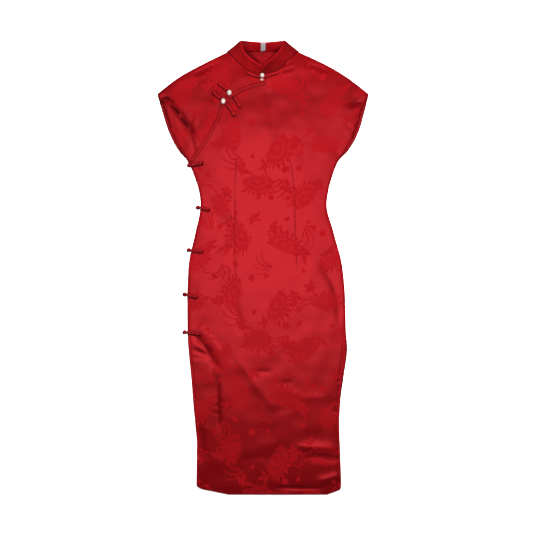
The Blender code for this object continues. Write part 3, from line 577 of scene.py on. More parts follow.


# Painted shade in the creases
CREASE_SHADE = (
    # Left armhole
    PaintedShade(1.00, 0.0042, ((-0.273, 0.4560), (-0.259, 0.4590), (-0.247, 0.449), (-0.238, 0.4415))),
    PaintedShade(1.05, 0.0068, ((-0.251, 0.438), (-0.239, 0.430), (-0.224, 0.413))),
    PaintedShade(0.90, 0.0080, ((-0.224, 0.407), (-0.211, 0.392), (-0.200, 0.377))),
    PaintedShade(0.26, 0.0130, ((-0.199, 0.376), (-0.189, 0.352), (-0.184, 0.325))),
    PaintedShade(1.00, 0.0042, ((-0.273, 0.455), (-0.2675, 0.441))),
    PaintedShade(0.45, 0.0020, ((-0.2645, 0.442), (-0.2580, 0.400), (-0.2500, 0.373))),
    PaintedShade(0.40, 0.0016, ((-0.246, 0.3675), (-0.234, 0.353), (-0.2235, 0.3395))),
    PaintedShade(0.40, 0.0016, ((-0.2435, 0.358), (-0.2285, 0.335))),
    # Right armhole
    PaintedShade(0.60, 0.0030, ((0.240, 0.441), (0.254, 0.446), (0.268, 0.4485))),
    PaintedShade(0.45, 0.0030, ((0.248, 0.453), (0.259, 0.4565), (0.271, 0.4565))),
    PaintedShade(0.30, 0.0050, ((0.232, 0.430), (0.250, 0.434))),
    PaintedShade(0.35, 0.0020, ((0.262, 0.430), (0.256, 0.400), (0.246, 0.372))),
    PaintedShade(0.30, 0.0020, ((0.238, 0.360), (0.222, 0.333))),
    # Neck, shoulders and chest
    PaintedShade(0.28, 0.0030, ((0.058, 0.530), (0.070, 0.535), (0.083, 0.540))),
    PaintedShade(0.25, 0.0030, ((0.048, 0.543), (0.062, 0.549), (0.078, 0.553))),
    PaintedShade(0.22, 0.0040, ((0.116, 0.549), (0.150, 0.541), (0.184, 0.527))),
    PaintedShade(0.30, 0.0040, ((-0.186, 0.521), (-0.150, 0.538), (-0.112, 0.556))),
    PaintedShade(0.14, 0.0240, ((-0.016, 0.466), (-0.004, 0.430), (-0.012, 0.400))),
    PaintedShade(0.10, 0.0120, ((0.008, 0.480), (0.012, 0.420), (0.018, 0.352))),
    PaintedShade(0.30, 0.0016, ((0.053, 0.332), (0.066, 0.300), (0.0790, 0.262))),
    # Waist and hips
    PaintedShade(0.25, 0.0025, ((-0.130, 0.116), (-0.106, 0.128), (-0.083, 0.141))),
    PaintedShade(0.22, 0.0025, ((-0.115, 0.073), (-0.094, 0.084), (-0.080, 0.090))),
    PaintedShade(0.25, 0.0025, ((-0.138, 0.041), (-0.106, 0.058), (-0.080, 0.069))),
    PaintedShade(0.22, 0.0030, ((-0.121, -0.031), (-0.100, -0.012), (-0.083, 0.004))),
    PaintedShade(0.28, 0.0030, ((-0.105, 0.198), (-0.092, 0.188), (-0.080, 0.177))),
    PaintedShade(0.25, 0.0025, ((0.150, 0.030), (0.176, 0.039), (0.190, 0.052))),
    PaintedShade(0.16, 0.0040, ((0.158, 0.008), (0.186, -0.040), (0.203, -0.100))),
    # Fan at the left slit
    PaintedShade(0.80, 0.0030, ((-0.183, -0.187), (-0.164, -0.200), (-0.152, -0.222))),
    PaintedShade(0.45, 0.0035, ((-0.158, -0.210), (-0.134, -0.248), (-0.1175, -0.274))),
    PaintedShade(0.35, 0.0032, ((-0.1745, -0.217), (-0.155, -0.232), (-0.134, -0.256), (-0.1205, -0.271))),
    PaintedShade(0.40, 0.0024, ((-0.190, -0.247), (-0.173, -0.244))),
    PaintedShade(0.45, 0.0038, ((-0.188, -0.254), (-0.164, -0.253), (-0.146, -0.266), (-0.131, -0.277))),
    PaintedShade(0.50, 0.0024, ((-0.188, -0.263), (-0.167, -0.260), (-0.149, -0.269))),
    PaintedShade(0.45, 0.0055, ((-0.136, -0.270), (-0.1245, -0.302), (-0.1220, -0.334))),
    PaintedShade(0.30, 0.0036, ((-0.1225, -0.325), (-0.1205, -0.376), (-0.1205, -0.425))),
    PaintedShade(0.30, 0.0045, ((-0.184, -0.326), (-0.156, -0.319), (-0.134, -0.314))),
    PaintedShade(0.22, 0.0100, ((-0.170, -0.346), (-0.150, -0.350))),
    PaintedShade(0.55, 0.0022, ((-0.1235, -0.358), (-0.109, -0.3565))),
    PaintedShade(0.55, 0.0022, ((-0.1235, -0.373), (-0.108, -0.373))),
    PaintedShade(0.50, 0.0022, ((-0.1235, -0.392), (-0.110, -0.391))),
    PaintedShade(0.45, 0.0022, ((-0.1240, -0.408), (-0.111, -0.407))),
    PaintedShade(0.25, 0.0090, ((-0.150, -0.400), (-0.134, -0.430), (-0.138, -0.470))),
    PaintedShade(0.45, 0.0032, ((-0.177, -0.496), (-0.168, -0.502), (-0.158, -0.516))),
    # Middle of the skirt
    PaintedShade(0.12, 0.0060, ((-0.066, -0.268), (-0.022, -0.330), (0.026, -0.392))),
    PaintedShade(0.35, 0.0034, ((0.026, -0.391), (0.056, -0.386), (0.090, -0.384))),
    PaintedShade(0.25, 0.0032, ((-0.028, -0.285), (-0.004, -0.287), (0.018, -0.285))),
    PaintedShade(0.22, 0.0032, ((0.030, -0.320), (0.052, -0.317), (0.076, -0.313))),
    PaintedShade(0.25, 0.0060, ((-0.050, -0.418), (0.010, -0.425), (0.070, -0.418))),
    PaintedShade(0.20, 0.0050, ((-0.080, -0.500), (0.000, -0.494), (0.060, -0.500))),
    PaintedShade(0.40, 0.0030, ((0.030, -0.595), (0.061, -0.589), (0.133, -0.593), (0.164, -0.596))),
    # Right of the skirt
    PaintedShade(0.28, 0.0045, ((0.170, -0.258), (0.186, -0.250), (0.207, -0.237))),
    PaintedShade(0.20, 0.0070, ((0.134, -0.303), (0.158, -0.289), (0.186, -0.268), (0.206, -0.256))),
    PaintedShade(0.40, 0.0045, ((0.193, -0.309), (0.208, -0.320))),
    PaintedShade(0.60, 0.0030, ((0.192, -0.361), (0.207, -0.349))),
    PaintedShade(0.95, 0.0026, ((0.189, -0.3755), (0.209, -0.376))),
    PaintedShade(0.95, 0.0032, ((0.187, -0.383), (0.209, -0.387))),
    PaintedShade(0.45, 0.0075, ((0.128, -0.502), (0.170, -0.508), (0.208, -0.516))),
    PaintedShade(0.30, 0.0050, ((0.150, -0.472), (0.180, -0.473), (0.206, -0.470))),
    PaintedShade(0.40, 0.0045, ((0.160, -0.586), (0.184, -0.580), (0.209, -0.569))),
)


# Painted shadow inside the neck, beside the collar's standing edge
NECK_SHADE = (
    PaintedShade(1.00, 0.0064, ((-0.047, 0.590), (-0.036, 0.576), (-0.024, 0.564), (-0.014, 0.556))),
    PaintedShade(0.75, 0.0052, ((0.044, 0.590), (0.031, 0.576), (0.021, 0.565), (0.011, 0.556))),
)


@dataclass(frozen=True)
class Wave:
    """One long wave of the cloth's unevenness: its lengths, its phase and its height."""

    length_x: float
    length_y: float
    phase: float
    height: float


WAVES = (
    Wave(0.110, 0.190, 0.4, 0.00026),
    Wave(-0.070, 0.130, 1.9, 0.00018),
    Wave(0.230, -0.083, 3.1, 0.00020),
    Wave(0.058, 0.071, 5.2, 0.00010),
    Wave(-0.140, 0.061, 0.9, 0.00012),
    Wave(0.047, -0.160, 2.6, 0.00009),
    Wave(0.320, 0.044, 4.4, 0.00009),
)

# Darts run from their feet to their points
DARTS = (
    ((-0.0755, -0.055), (-0.0775, 0.120), (-0.0760, 0.250), (-0.0705, 0.330)),
    ((0.0930, -0.020), (0.0880, 0.140), (0.0835, 0.235), (0.0660, 0.330)),
)

# The shoulder piece's free edge, from the armpit to the centre front
OPENING = (
    (-0.1880, 0.2860),
    (-0.1640, 0.3220),
    (-0.1380, 0.3590),
    (-0.1190, 0.3980),
    (-0.0965, 0.4480),
    (-0.0750, 0.4660),
    (-0.0485, 0.4790),
    (-0.0200, 0.4885),
    (0.0080, 0.4940),
)


@dataclass(frozen=True)
class Station:
    """One upright line of the collar: where it is sewn on, and where its top edge is."""

    seam_x: float
    seam_y: float
    top_x: float
    top_y: float
    top_z: float


COLLAR = (
    Station(-0.0034, 0.5230, -0.0034, 0.5330, 0.0280),
    Station(-0.0075, 0.5234, -0.0060, 0.5405, 0.0355),
    Station(-0.0200, 0.5262, -0.0170, 0.5490, 0.0355),
    Station(-0.0400, 0.5330, -0.0290, 0.5580, 0.0330),
    Station(-0.0580, 0.5465, -0.0450, 0.5720, 0.0290),
    Station(-0.0760, 0.5640, -0.0540, 0.5910, 0.0210),
    Station(-0.0925, 0.5806, -0.0585, 0.6090, 0.0140),
    Station(-0.0968, 0.5832, -0.0600, 0.6124, 0.0110),
    Station(-0.0915, 0.5848, -0.0560, 0.6116, 0.0118),
    Station(-0.0450, 0.5848, -0.0300, 0.6076, 0.0230),
    Station(0.0000, 0.5848, 0.0000, 0.6050, 0.0300),
    Station(0.0450, 0.5848, 0.0300, 0.6076, 0.0230),
    Station(0.0915, 0.5848, 0.0555, 0.6116, 0.0118),
    Station(0.0968, 0.5832, 0.0595, 0.6124, 0.0110),
    Station(0.0925, 0.5806, 0.0570, 0.6085, 0.0140),
    Station(0.0760, 0.5678, 0.0485, 0.5910, 0.0210),
    Station(0.0600, 0.5510, 0.0360, 0.5740, 0.0290),
    Station(0.0420, 0.5345, 0.0240, 0.5610, 0.0330),
    Station(0.0200, 0.5265, 0.0100, 0.5500, 0.0350),
    Station(0.0045, 0.5234, 0.0025, 0.5390, 0.0345),
    Station(0.0002, 0.5230, 0.0000, 0.5325, 0.0275),
)
FIRST_BACK = 8
LAST_BACK = 12

# Painted shade on the collar along its band, by station: darkest beside its two corners, and painted
# light where it is below zero
COLLAR_SHADE = (
    (0.0, 0.10),
    (1.2, -0.45),
    (2.6, -0.60),
    (3.4, -0.50),
    (4.2, -0.20),
    (5.0, 0.07),
    (6.0, 0.60),
    (7.4, 0.70),
    (8.1, 0.80),
    (8.7, 0.50),
    (9.2, -0.95),
    (10.0, -0.85),
    (10.8, -0.55),
    (11.3, 0.30),
    (11.9, 0.45),
    (12.6, 0.60),
    (14.3, 0.68),
    (15.3, 0.30),
    (16.6, 0.42),
    (17.8, 0.38),
    (20.0, 0.15),
)

# Painted light along the outline, by height up the dress: below zero, so that its edges are painted
# lighter than the cloth
OUTLINE_SHADE = ((-0.62, -0.8), (-0.20, -1.7), (0.27, -1.6), (0.31, -0.1))

# Painted shade and light up the chest: painted shade at the opening, painted light on the shoulders
CHEST_SHADE = ((0.43, 0.0), (0.468, 0.12), (0.50, -0.20), (0.53, -0.45), (0.58, -0.50))


def opening_line(count: int) -> Array:
    """The opening's curve, as points at even steps across.

    Args:
        count: How many points.

    Returns:
        The points, two numbers each.
    """
    x = np.linspace(OPENING[0][0], OPENING[-1][0], count)
    y = smooth([p[0] for p in OPENING], [p[1] for p in OPENING], x)
    return np.stack([x, y], axis=1)


@dataclass
class Form:
    """The outline of the dress and the heights of its layers."""

    roll_share: float = 0.3
    roll_reach: float = 0.0022
    # Half width of the painted light along the outline
    outline_half: float = 0.0036
    fold_end: float = 0.35
    underlap: float = 0.015
    lap_rise: float = 0.0019
    lap_flat: float = 0.026
    lap_fade: float = 0.036
    strip_width: float = 0.008
    strip_room: float = 1.6
    dart_depth: float = 0.0007
    dart_flank: float = 0.005
    dart_end: float = 0.035
    seam_half: float = 0.0011
    hem_depth: float = 0.0005
    hem_inset: float = 0.0055
    hem_half: float = 0.0016
    # The painted shadow under each cord: how far below it lies and its half width; then how much a
    # painted shade line fades at its ends
    cord_drop: float = 0.0014
    cord_shade_half: float = 0.0024
    crease_fade: float = 0.7
    centre_x: float = 0.008
    centre_top: float = 0.5135
    opening: Array = field(init=False)

    def __post_init__(self) -> None:
        """Works out the opening's curve once."""
        self.opening = opening_line(48)

    def edge(self, column: str, y: Array) -> Array:
        """Reads one column of the sections at any height, with a corner at the shoulder tip.

        Args:
            column: A field of Section.
            y: Where to read it.

        Returns:
            The column's values.
        """
        y = np.asarray(y, float)
        below, above = SECTIONS[: TIP + 1], SECTIONS[TIP:]
        low = smooth([s.y for s in below], [getattr(s, column) for s in below], y)
        high = smooth([s.y for s in above], [getattr(s, column) for s in above], y)
        return np.where(y <= SECTIONS[TIP].y, low, high)

    def folds(self, x: Array, y: Array, table: tuple[Fold, ...]) -> Array:
        """Sums folds: each is its height · exp(-(d/w)²), weaker towards its path's ends.

        Args:
            x: Places across.
            y: Places along the dress.
            table: The folds.

        Returns:
            The height that they add.
        """
        total = np.zeros(np.shape(x))
        for fold in table:
            d, along = nearest(x, y, fold.path)
            width = np.where(d > 0, fold.left, fold.right)
            strength = self.fold_end + (1 - self.fold_end) * (1 - (2 * along - 1) ** 4)
            total = total + fold.height * bell(d, width) * strength
        return total

    def waves(self, x: Array, y: Array) -> Array:
        """The faint unevenness: a sum of height · sin(2π(x/lx + y/ly) + phase).

        Args:
            x: Places across.
            y: Places along the dress.

        Returns:
            The height that it adds.
        """
        total = np.zeros(np.shape(x))
        for w in WAVES:
            total = total + w.height * np.sin(TURN * (x / w.length_x + y / w.length_y) + w.phase)
        return total

    def mark(self, x: Array, y: Array) -> Array:
        """Painted shade on the cloth, and below zero where painted light makes it lighter than its tone.

        Each painted shade line gives depth · exp(-(d/half)²), weaker towards its ends. Painted
        shadows of the cords fall on the cloth just below them. Then the outline adds its painted
        light within a short way of the edge, and the chest adds its painted shade and light.

        Args:
            x: Places across.
            y: Places along the dress.

        Returns:
            The painted shade, 1 where it is darkest.
        """
        total = np.zeros(np.shape(x))
        for shade_line in CREASE_SHADE:
            d, along = nearest(x, y, shade_line.path)
            strength = shade_line.depth * (1 - (2 * along - 1) ** 6 * self.crease_fade)
            total = np.maximum(total, strength * bell(d, shade_line.half))
        for arm in (*FROG_ARMS, *side_bars()):
            d, _ = nearest(x, y + self.cord_drop, arm.path)
            beside = np.maximum(np.abs(d) - arm.half_width, 0)
            total = np.maximum(total, bell(beside, self.cord_shade_half))
        rim = bell(self.inset(x, y), self.outline_half)
        return total + read_off(OUTLINE_SHADE, y) * rim + read_off(CHEST_SHADE, y)

    def inset(self, x: Array, y: Array) -> Array:
        """How far inside the nearest edge of the front a place is, square to that edge.

        Args:
            x: Places across.
            y: Places along the dress.

        Returns:
            The distances, 0 outside.
        """
        step = 0.0001
        best = y - SECTIONS[0].y
        for column, way in (("front_left", 1), ("front_right", -1)):
            slope = (self.edge(column, y + step) - self.edge(column, y - step)) / (2 * step)
            best = np.minimum(best, way * (x - self.edge(column, y)) / np.hypot(1, slope))
        return np.maximum(best, 0)

    def front(self, x: Array, y: Array) -> Array:
        """Height of the front's outer face.

        It is lift + (rise - lift) · crown, plus the swells, the folds and the waves. The crown
        is r(1 - exp(-d/reach)) + (1 - r)(1 - s²), where d is the distance inside the nearest
        edge and s runs from -1 to 1 between the side edges.

        Args:
            x: Places across.
            y: Places along the dress.

        Returns:
            The heights.
        """
        x, y = np.broadcast_arrays(np.asarray(x, float), np.asarray(y, float))
        left, right = self.edge("front_left", y), self.edge("front_right", y)
        lift, rise = self.edge("edge_lift", y), self.edge("rise", y)
        across = np.clip(2 * (x - left) / (right - left) - 1, -1, 1)
        roll = 1 - np.exp(-self.inset(x, y) / self.roll_reach)
        crown = self.roll_share * roll + (1 - self.roll_share) * (1 - across**2)
        height = lift + (rise - lift) * crown
        for s in SWELLS:
            away = ((x - s.x) / s.half_width) ** 2 + ((y - s.y) / s.half_length) ** 2
            height = height + s.height * np.exp(-away) * roll
        height = height + self.folds(x, y, MAIN_FOLDS) + self.folds(x, y, FINE_FOLDS)
        height = height + self.waves(x, y) * roll
        return EDGE_TOP + np.maximum(height, 0)

    def shoulder(self, x: Array, y: Array) -> Array:
        """Height of the shoulder piece: the front's, raised where it laps over the main front.

        Args:
            x: Places across.
            y: Places along the dress.

        Returns:
            The heights.
        """
        d, _ = nearest(x, y, self.opening)
        raised = self.lap_rise * (1 - ease((np.abs(d) - self.lap_flat) / self.lap_fade))
        return self.front(x, y) + raised

    def top(self, x: Array, y: Array, reach: float) -> Array:
        """The highest cloth within reach of each place, on which a cord lies.

        Args:
            x: Places across.
            y: Places along the dress.
            reach: How far round each place to look.

        Returns:
            The heights.
        """
        turns = np.arange(8) * TURN / 8
        px = np.concatenate([x[None], x[None] + reach * np.cos(turns)[:, None]])
        py = np.concatenate([y[None], y[None] + reach * np.sin(turns)[:, None]])
        d, along = nearest(px, py, self.opening)
        lapped = (d >= 0) & (px < self.centre_x) & (py > OPENING[0][1])
        level = np.where(lapped, self.shoulder(px, py), self.front(px, py))
        on_strip = lapped & (d < self.strip_width) & (along > 0) & (along < 1)
        return np.max(level + np.where(on_strip, SEAM_GAP + self.strip_room * TRIM, 0), axis=0)

    def collar_seam(self, side: Side) -> Array:
        """The collar's seam on one front, from the centre front to the neck point."""
        stations = COLLAR[: FIRST_BACK - 1] if side is Side.LEFT else COLLAR[LAST_BACK + 2 :][::-1]
        return np.array([(s.seam_x, s.seam_y) for s in stations])

    def main_left(self, y: Array) -> Array:
        """The main front's own left edge: side seam, then underlap, then neckline.

        Args:
            y: Places along the dress.

        Returns:
            The edge's places across.
        """
        under = shifted(self.opening, self.underlap)
        neck = self.collar_seam(Side.RIGHT)
        path = np.concatenate([under[under[:, 1] < neck[0, 1] - SEAM_GAP], neck])
        inside = np.interp(y, path[:, 1], path[:, 0], left=-1)
        return np.maximum(self.edge("front_left", y), inside)

    def dart_column(self, dart: tuple, rows: Array, left: Array, right: Array) -> Array:
        """Where a dart's column runs: its share of the width, held past its two ends.

        Args:
            dart: The dart's points.
            rows: The rows' places along the dress.
            left: The left edge at each row.
            right: The right edge at each row.

        Returns:
            The column's place across at each row.
        """
        path = np.array(dart)
        held = np.clip(rows, path[0, 1], path[-1, 1])
        low, high = self.edge("front_left", held), self.edge("front_right", held)
        share = (smooth(path[:, 1], path[:, 0], held) - low) / (high - low)
        return left + share * (right - left)

    def dart_dip(self, x: Array, y: Array) -> tuple[Array, Array]:
        """How far the front dips along its darts, and how deep in a dart's seam it is.

        Args:
            x: Places across.
            y: Places along the dress.

        Returns:
            The dip, and the seam's depth from 0 to 1.
        """
        dip, seam = np.zeros(np.shape(x)), np.zeros(np.shape(x))
        for dart in DARTS:
            path = np.array(dart)
            d = x - smooth(path[:, 1], path[:, 0], y)
            ends = np.clip(np.minimum(y - path[0, 1], path[-1, 1] - y) / self.dart_end, 0, 1)
            dip = dip + self.dart_depth * ends * tent(d, self.dart_flank) ** 2
            seam = np.maximum(seam, ends * tent(d, self.seam_half))
        return dip, seam

    def hem_groove(self, x: Array, y: Array, left: Array, right: Array) -> Array:
        """The pressed line inside the hem and the slits: 1 on it, fading on both sides.

        Args:
            x: Places across.
            y: Places along the dress.
            left: The front's left edge at each place.
            right: Its right edge.

        Returns:
            How close to the line each place is, from 0 to 1.
        """
        hem = SECTIONS[:4]
        low = np.interp(x, [s.back_left for s in hem[::-1]], [s.y for s in hem[::-1]])
        high = np.interp(x, [s.back_right for s in hem], [s.y for s in hem])
        below = y - np.maximum(low, high)
        sides = np.minimum(x - left, right - x)
        inset = np.where(y < SECTIONS[SLIT_TOP].y, np.minimum(below, sides), below)
        return tent(inset - self.hem_inset, self.hem_half)


# Finishes


class Graph:
    """Adds nodes to a node tree and links them."""

    def __init__(self, tree: bpy.types.NodeTree) -> None:
        """Keeps the tree."""
        self.tree = tree

    def node(self, kind: str, inputs: dict | None = None, **settings: object) -> bpy.types.Node:
        """Adds one node.

        Args:
            kind: The node's type, without its ShaderNode prefix.
            inputs: What goes into its inputs, by name or number: a socket or a value.
            settings: Its own settings.

        Returns:
            The node.
        """
        made = self.tree.nodes.new("ShaderNode" + kind)
        for name, value in settings.items():
            setattr(made, name, value)
        self.fill(made, inputs or {})
        return made

    def fill(self, node: bpy.types.Node, inputs: dict) -> None:
        """Feeds several inputs of a node, by name or number."""
        for name, value in inputs.items():
            self.feed(node.inputs[name], value)

    def feed(self, socket: Socket, value: object) -> None:
        """Links a socket to an input, or sets the input to a value.

        Args:
            socket: The input.
            value: The socket or the value that goes into it.
        """
        if isinstance(value, bpy.types.NodeSocket):
            self.tree.links.new(value, socket)
        else:
            socket.default_value = value

    def math(self, operation: str, *values: object, clamp: bool = False) -> Socket:
        """One Math node of up to three values."""
        inputs = dict(enumerate(values))
        return self.node("Math", inputs, operation=operation, use_clamp=clamp).outputs[0]

    def vector(self, operation: str, *values: object) -> Socket:
        """One Vector Math node of up to three vectors."""
        return self.node("VectorMath", dict(enumerate(values)), operation=operation).outputs["Vector"]

    def ramp(
        self, value: object, low: object, high: object, start: float = 0, end: float = 1
    ) -> Socket:
        """Maps low..high to start..end, with level ends."""
        inputs = {"Value": value, "From Min": low, "From Max": high, "To Min": start, "To Max": end}
        return self.node("MapRange", inputs, interpolation_type="SMOOTHSTEP").outputs["Result"]

    def blend(self, factor: object, a: object, b: object) -> Socket:
        """Mixes two colours."""
        return self.node("Mix", {0: factor, 6: a, 7: b}, data_type="RGBA").outputs[2]

    def choose(self, factor: Socket, a: object, b: object) -> Socket:
        """Takes vector a where the factor is 0 and vector b where it is 1."""
        return self.node("Mix", {0: factor, 4: a, 5: b}, data_type="VECTOR").outputs[1]

    def between(self, factor: object, a: float, b: float) -> Socket:
        """Mixes two numbers: a + factor · (b - a)."""
        return self.math("MULTIPLY_ADD", factor, b - a, a)

    def noise(self, place: Socket, scale: float, detail: float = 2, rough: float = 0.5) -> Socket:
        """Noise of a scale on a place, about 0.5."""
        inputs = {"Vector": place, "Scale": scale, "Detail": detail, "Roughness": rough}
        return self.node("TexNoise", inputs).outputs[0]

    def place(self, name: str = "cloth") -> Socket:
        """The piece's own place on the flat cloth."""
        return self.node("Attribute", attribute_name=name).outputs["Vector"]

    def depth(self) -> Socket:
        """The painted shade on the surface, below zero where it is painted light."""
        return self.node("Attribute", attribute_name="seam").outputs["Fac"]

    def group(self, tree: bpy.types.NodeTree, inputs: dict) -> bpy.types.Node:
        """Adds a group node and feeds its inputs."""
        return self.node("Group", inputs, node_tree=tree)

    def scaled(self, colour: object, share: Socket) -> Socket:
        """A colour times a number."""
        return self.node("VectorMath", {0: colour, "Scale": share}, operation="SCALE").outputs[0]

    def bump(
        self, shader: bpy.types.Node, height: Socket, strength: float, distance: float
    ) -> None:
        """Tilts a shader's normal by the slope of a height."""
        inputs = {"Strength": strength, "Distance": distance, "Height": height}
        self.feed(shader.inputs["Normal"], self.node("Bump", inputs).outputs[0])


def start_material(name: str) -> tuple[Material, Graph, bpy.types.Node]:
    """Starts a material, and gives it with its graph and its shader.

    Args:
        name: The material's name.

    Returns:
        The material, its graph and its shader node.
    """
    made = bpy.data.materials.new(name)
    made.use_nodes = True
    return made, Graph(made.node_tree), made.node_tree.nodes["Principled BSDF"]


def group_graph(
    name: str, inputs: dict[str, str], outputs: dict[str, str]
) -> tuple[bpy.types.NodeTree, Graph, dict[str, Socket], dict[str, Socket]]:
    """Starts a shader node group.

    Args:
        name: The group's name.
        inputs: Its inputs, by name, with their types.
        outputs: Its outputs, by name, with their types.

    Returns:
        The group, its graph, the sockets that give its inputs and those that take its outputs.
    """
    tree = bpy.data.node_groups.new(name, "ShaderNodeTree")
    for label, kind in inputs.items():
        tree.interface.new_socket(label, in_out="INPUT", socket_type="NodeSocket" + kind)
    for label, kind in outputs.items():
        tree.interface.new_socket(label, in_out="OUTPUT", socket_type="NodeSocket" + kind)
    given = tree.nodes.new("NodeGroupInput")
    taken = tree.nodes.new("NodeGroupOutput")
    sources = {label: given.outputs[label] for label in inputs}
    targets = {label: taken.inputs[label] for label in outputs}
    return tree, Graph(tree), sources, targets


@dataclass(frozen=True)
class Figure:
    """One kind of woven figure, and where it stands in the repeat.

    notch says how deep the petals are cut, sharp how pointed they are, lean how much longer
    they are on one side, vary how uneven they are, ribs how strongly their lines show and
    squeeze how much narrower the figure is one way.
    Each place is a centre (x, y), a turn and a size.
    """

    petals: float
    notch: float
    sharp: float
    lean: float
    vary: float
    ribs: float
    squeeze: float
    places: tuple[tuple[float, float, float, float], ...]


HEADS = Figure(
    petals=21,
    notch=0.38,
    sharp=1.1,
    lean=0.40,
    vary=0.30,
    ribs=0.9,
    squeeze=1.45,
    places=(
        (0.055, 0.060, 0.4, 0.050),
        (0.180, 0.032, 2.3, 0.042),
        (0.302, 0.086, 4.4, 0.052),
        (0.112, 0.188, 5.6, 0.047),
        (0.238, 0.168, 1.3, 0.039),
        (0.346, 0.232, 3.2, 0.049),
        (0.036, 0.318, 2.0, 0.052),
        (0.168, 0.322, 0.1, 0.043),
        (0.284, 0.352, 4.9, 0.048),
    ),
)
LEAVES = Figure(
    petals=5,
    notch=0.80,
    sharp=0.65,
    lean=0.45,
    vary=0.40,
    ribs=0.7,
    squeeze=1.2,
    places=(
        (0.106, 0.042, 3.3, 0.026),
        (0.026, 0.108, 1.9, 0.024),
        (0.218, 0.064, 2.6, 0.023),
        (0.262, 0.048, 5.2, 0.021),
        (0.334, 0.136, 2.4, 0.024),
        (0.066, 0.212, 0.3, 0.023),
        (0.152, 0.224, 3.9, 0.025),
        (0.266, 0.204, 4.1, 0.022),
        (0.302, 0.262, 0.8, 0.024),
        (0.086, 0.346, 3.6, 0.025),
        (0.130, 0.366, 5.4, 0.020),
        (0.236, 0.330, 0.5, 0.023),
        (0.006, 0.272, 4.9, 0.021),
    ),
)
PETALS = Figure(
    petals=1,
    notch=0.92,
    sharp=0.75,
    lean=0.0,
    vary=0.0,
    ribs=0.0,
    squeeze=1.0,
    places=(
        (0.140, 0.104, 0.6, 0.011),
        (0.122, 0.120, 2.4, 0.009),
        (0.246, 0.112, 1.2, 0.010),
        (0.190, 0.122, 4.0, 0.009),
        (0.066, 0.136, 5.0, 0.010),
        (0.018, 0.186, 3.0, 0.012),
        (0.290, 0.150, 0.2, 0.008),
        (0.208, 0.250, 2.9, 0.011),
        (0.190, 0.266, 5.7, 0.009),
        (0.098, 0.266, 1.6, 0.010),
        (0.226, 0.398, 3.6, 0.011),
        (0.332, 0.302, 4.6, 0.009),
        (0.110, 0.412, 0.9, 0.010),
        (0.012, 0.394, 2.2, 0.009),
    ),
)
BLOSSOMS = Figure(
    petals=5,
    notch=0.55,
    sharp=1.6,
    lean=0.0,
    vary=0.2,
    ribs=0.0,
    squeeze=1.0,
    places=(
        (0.162, 0.092, 0.3, 0.010),
        (0.060, 0.264, 1.1, 0.011),
        (0.330, 0.394, 2.0, 0.010),
        (0.286, 0.010, 0.8, 0.009),
    ),
)
SPRAYS = (
    (0.104, 0.100, 0.5, 0.052),
    (0.230, 0.118, 3.4, 0.046),
    (0.052, 0.240, 1.9, 0.054),
    (0.196, 0.210, 5.0, 0.048),
    (0.304, 0.296, 2.7, 0.054),
    (0.106, 0.300, 4.2, 0.048),
    (0.244, 0.006, 1.2, 0.050),
    (0.020, 0.010, 2.6, 0.046),
)


# The fields of a figure that its node group takes
PETAL_INPUTS = ("Petals", "Notch", "Sharp", "Lean", "Vary", "Ribs")


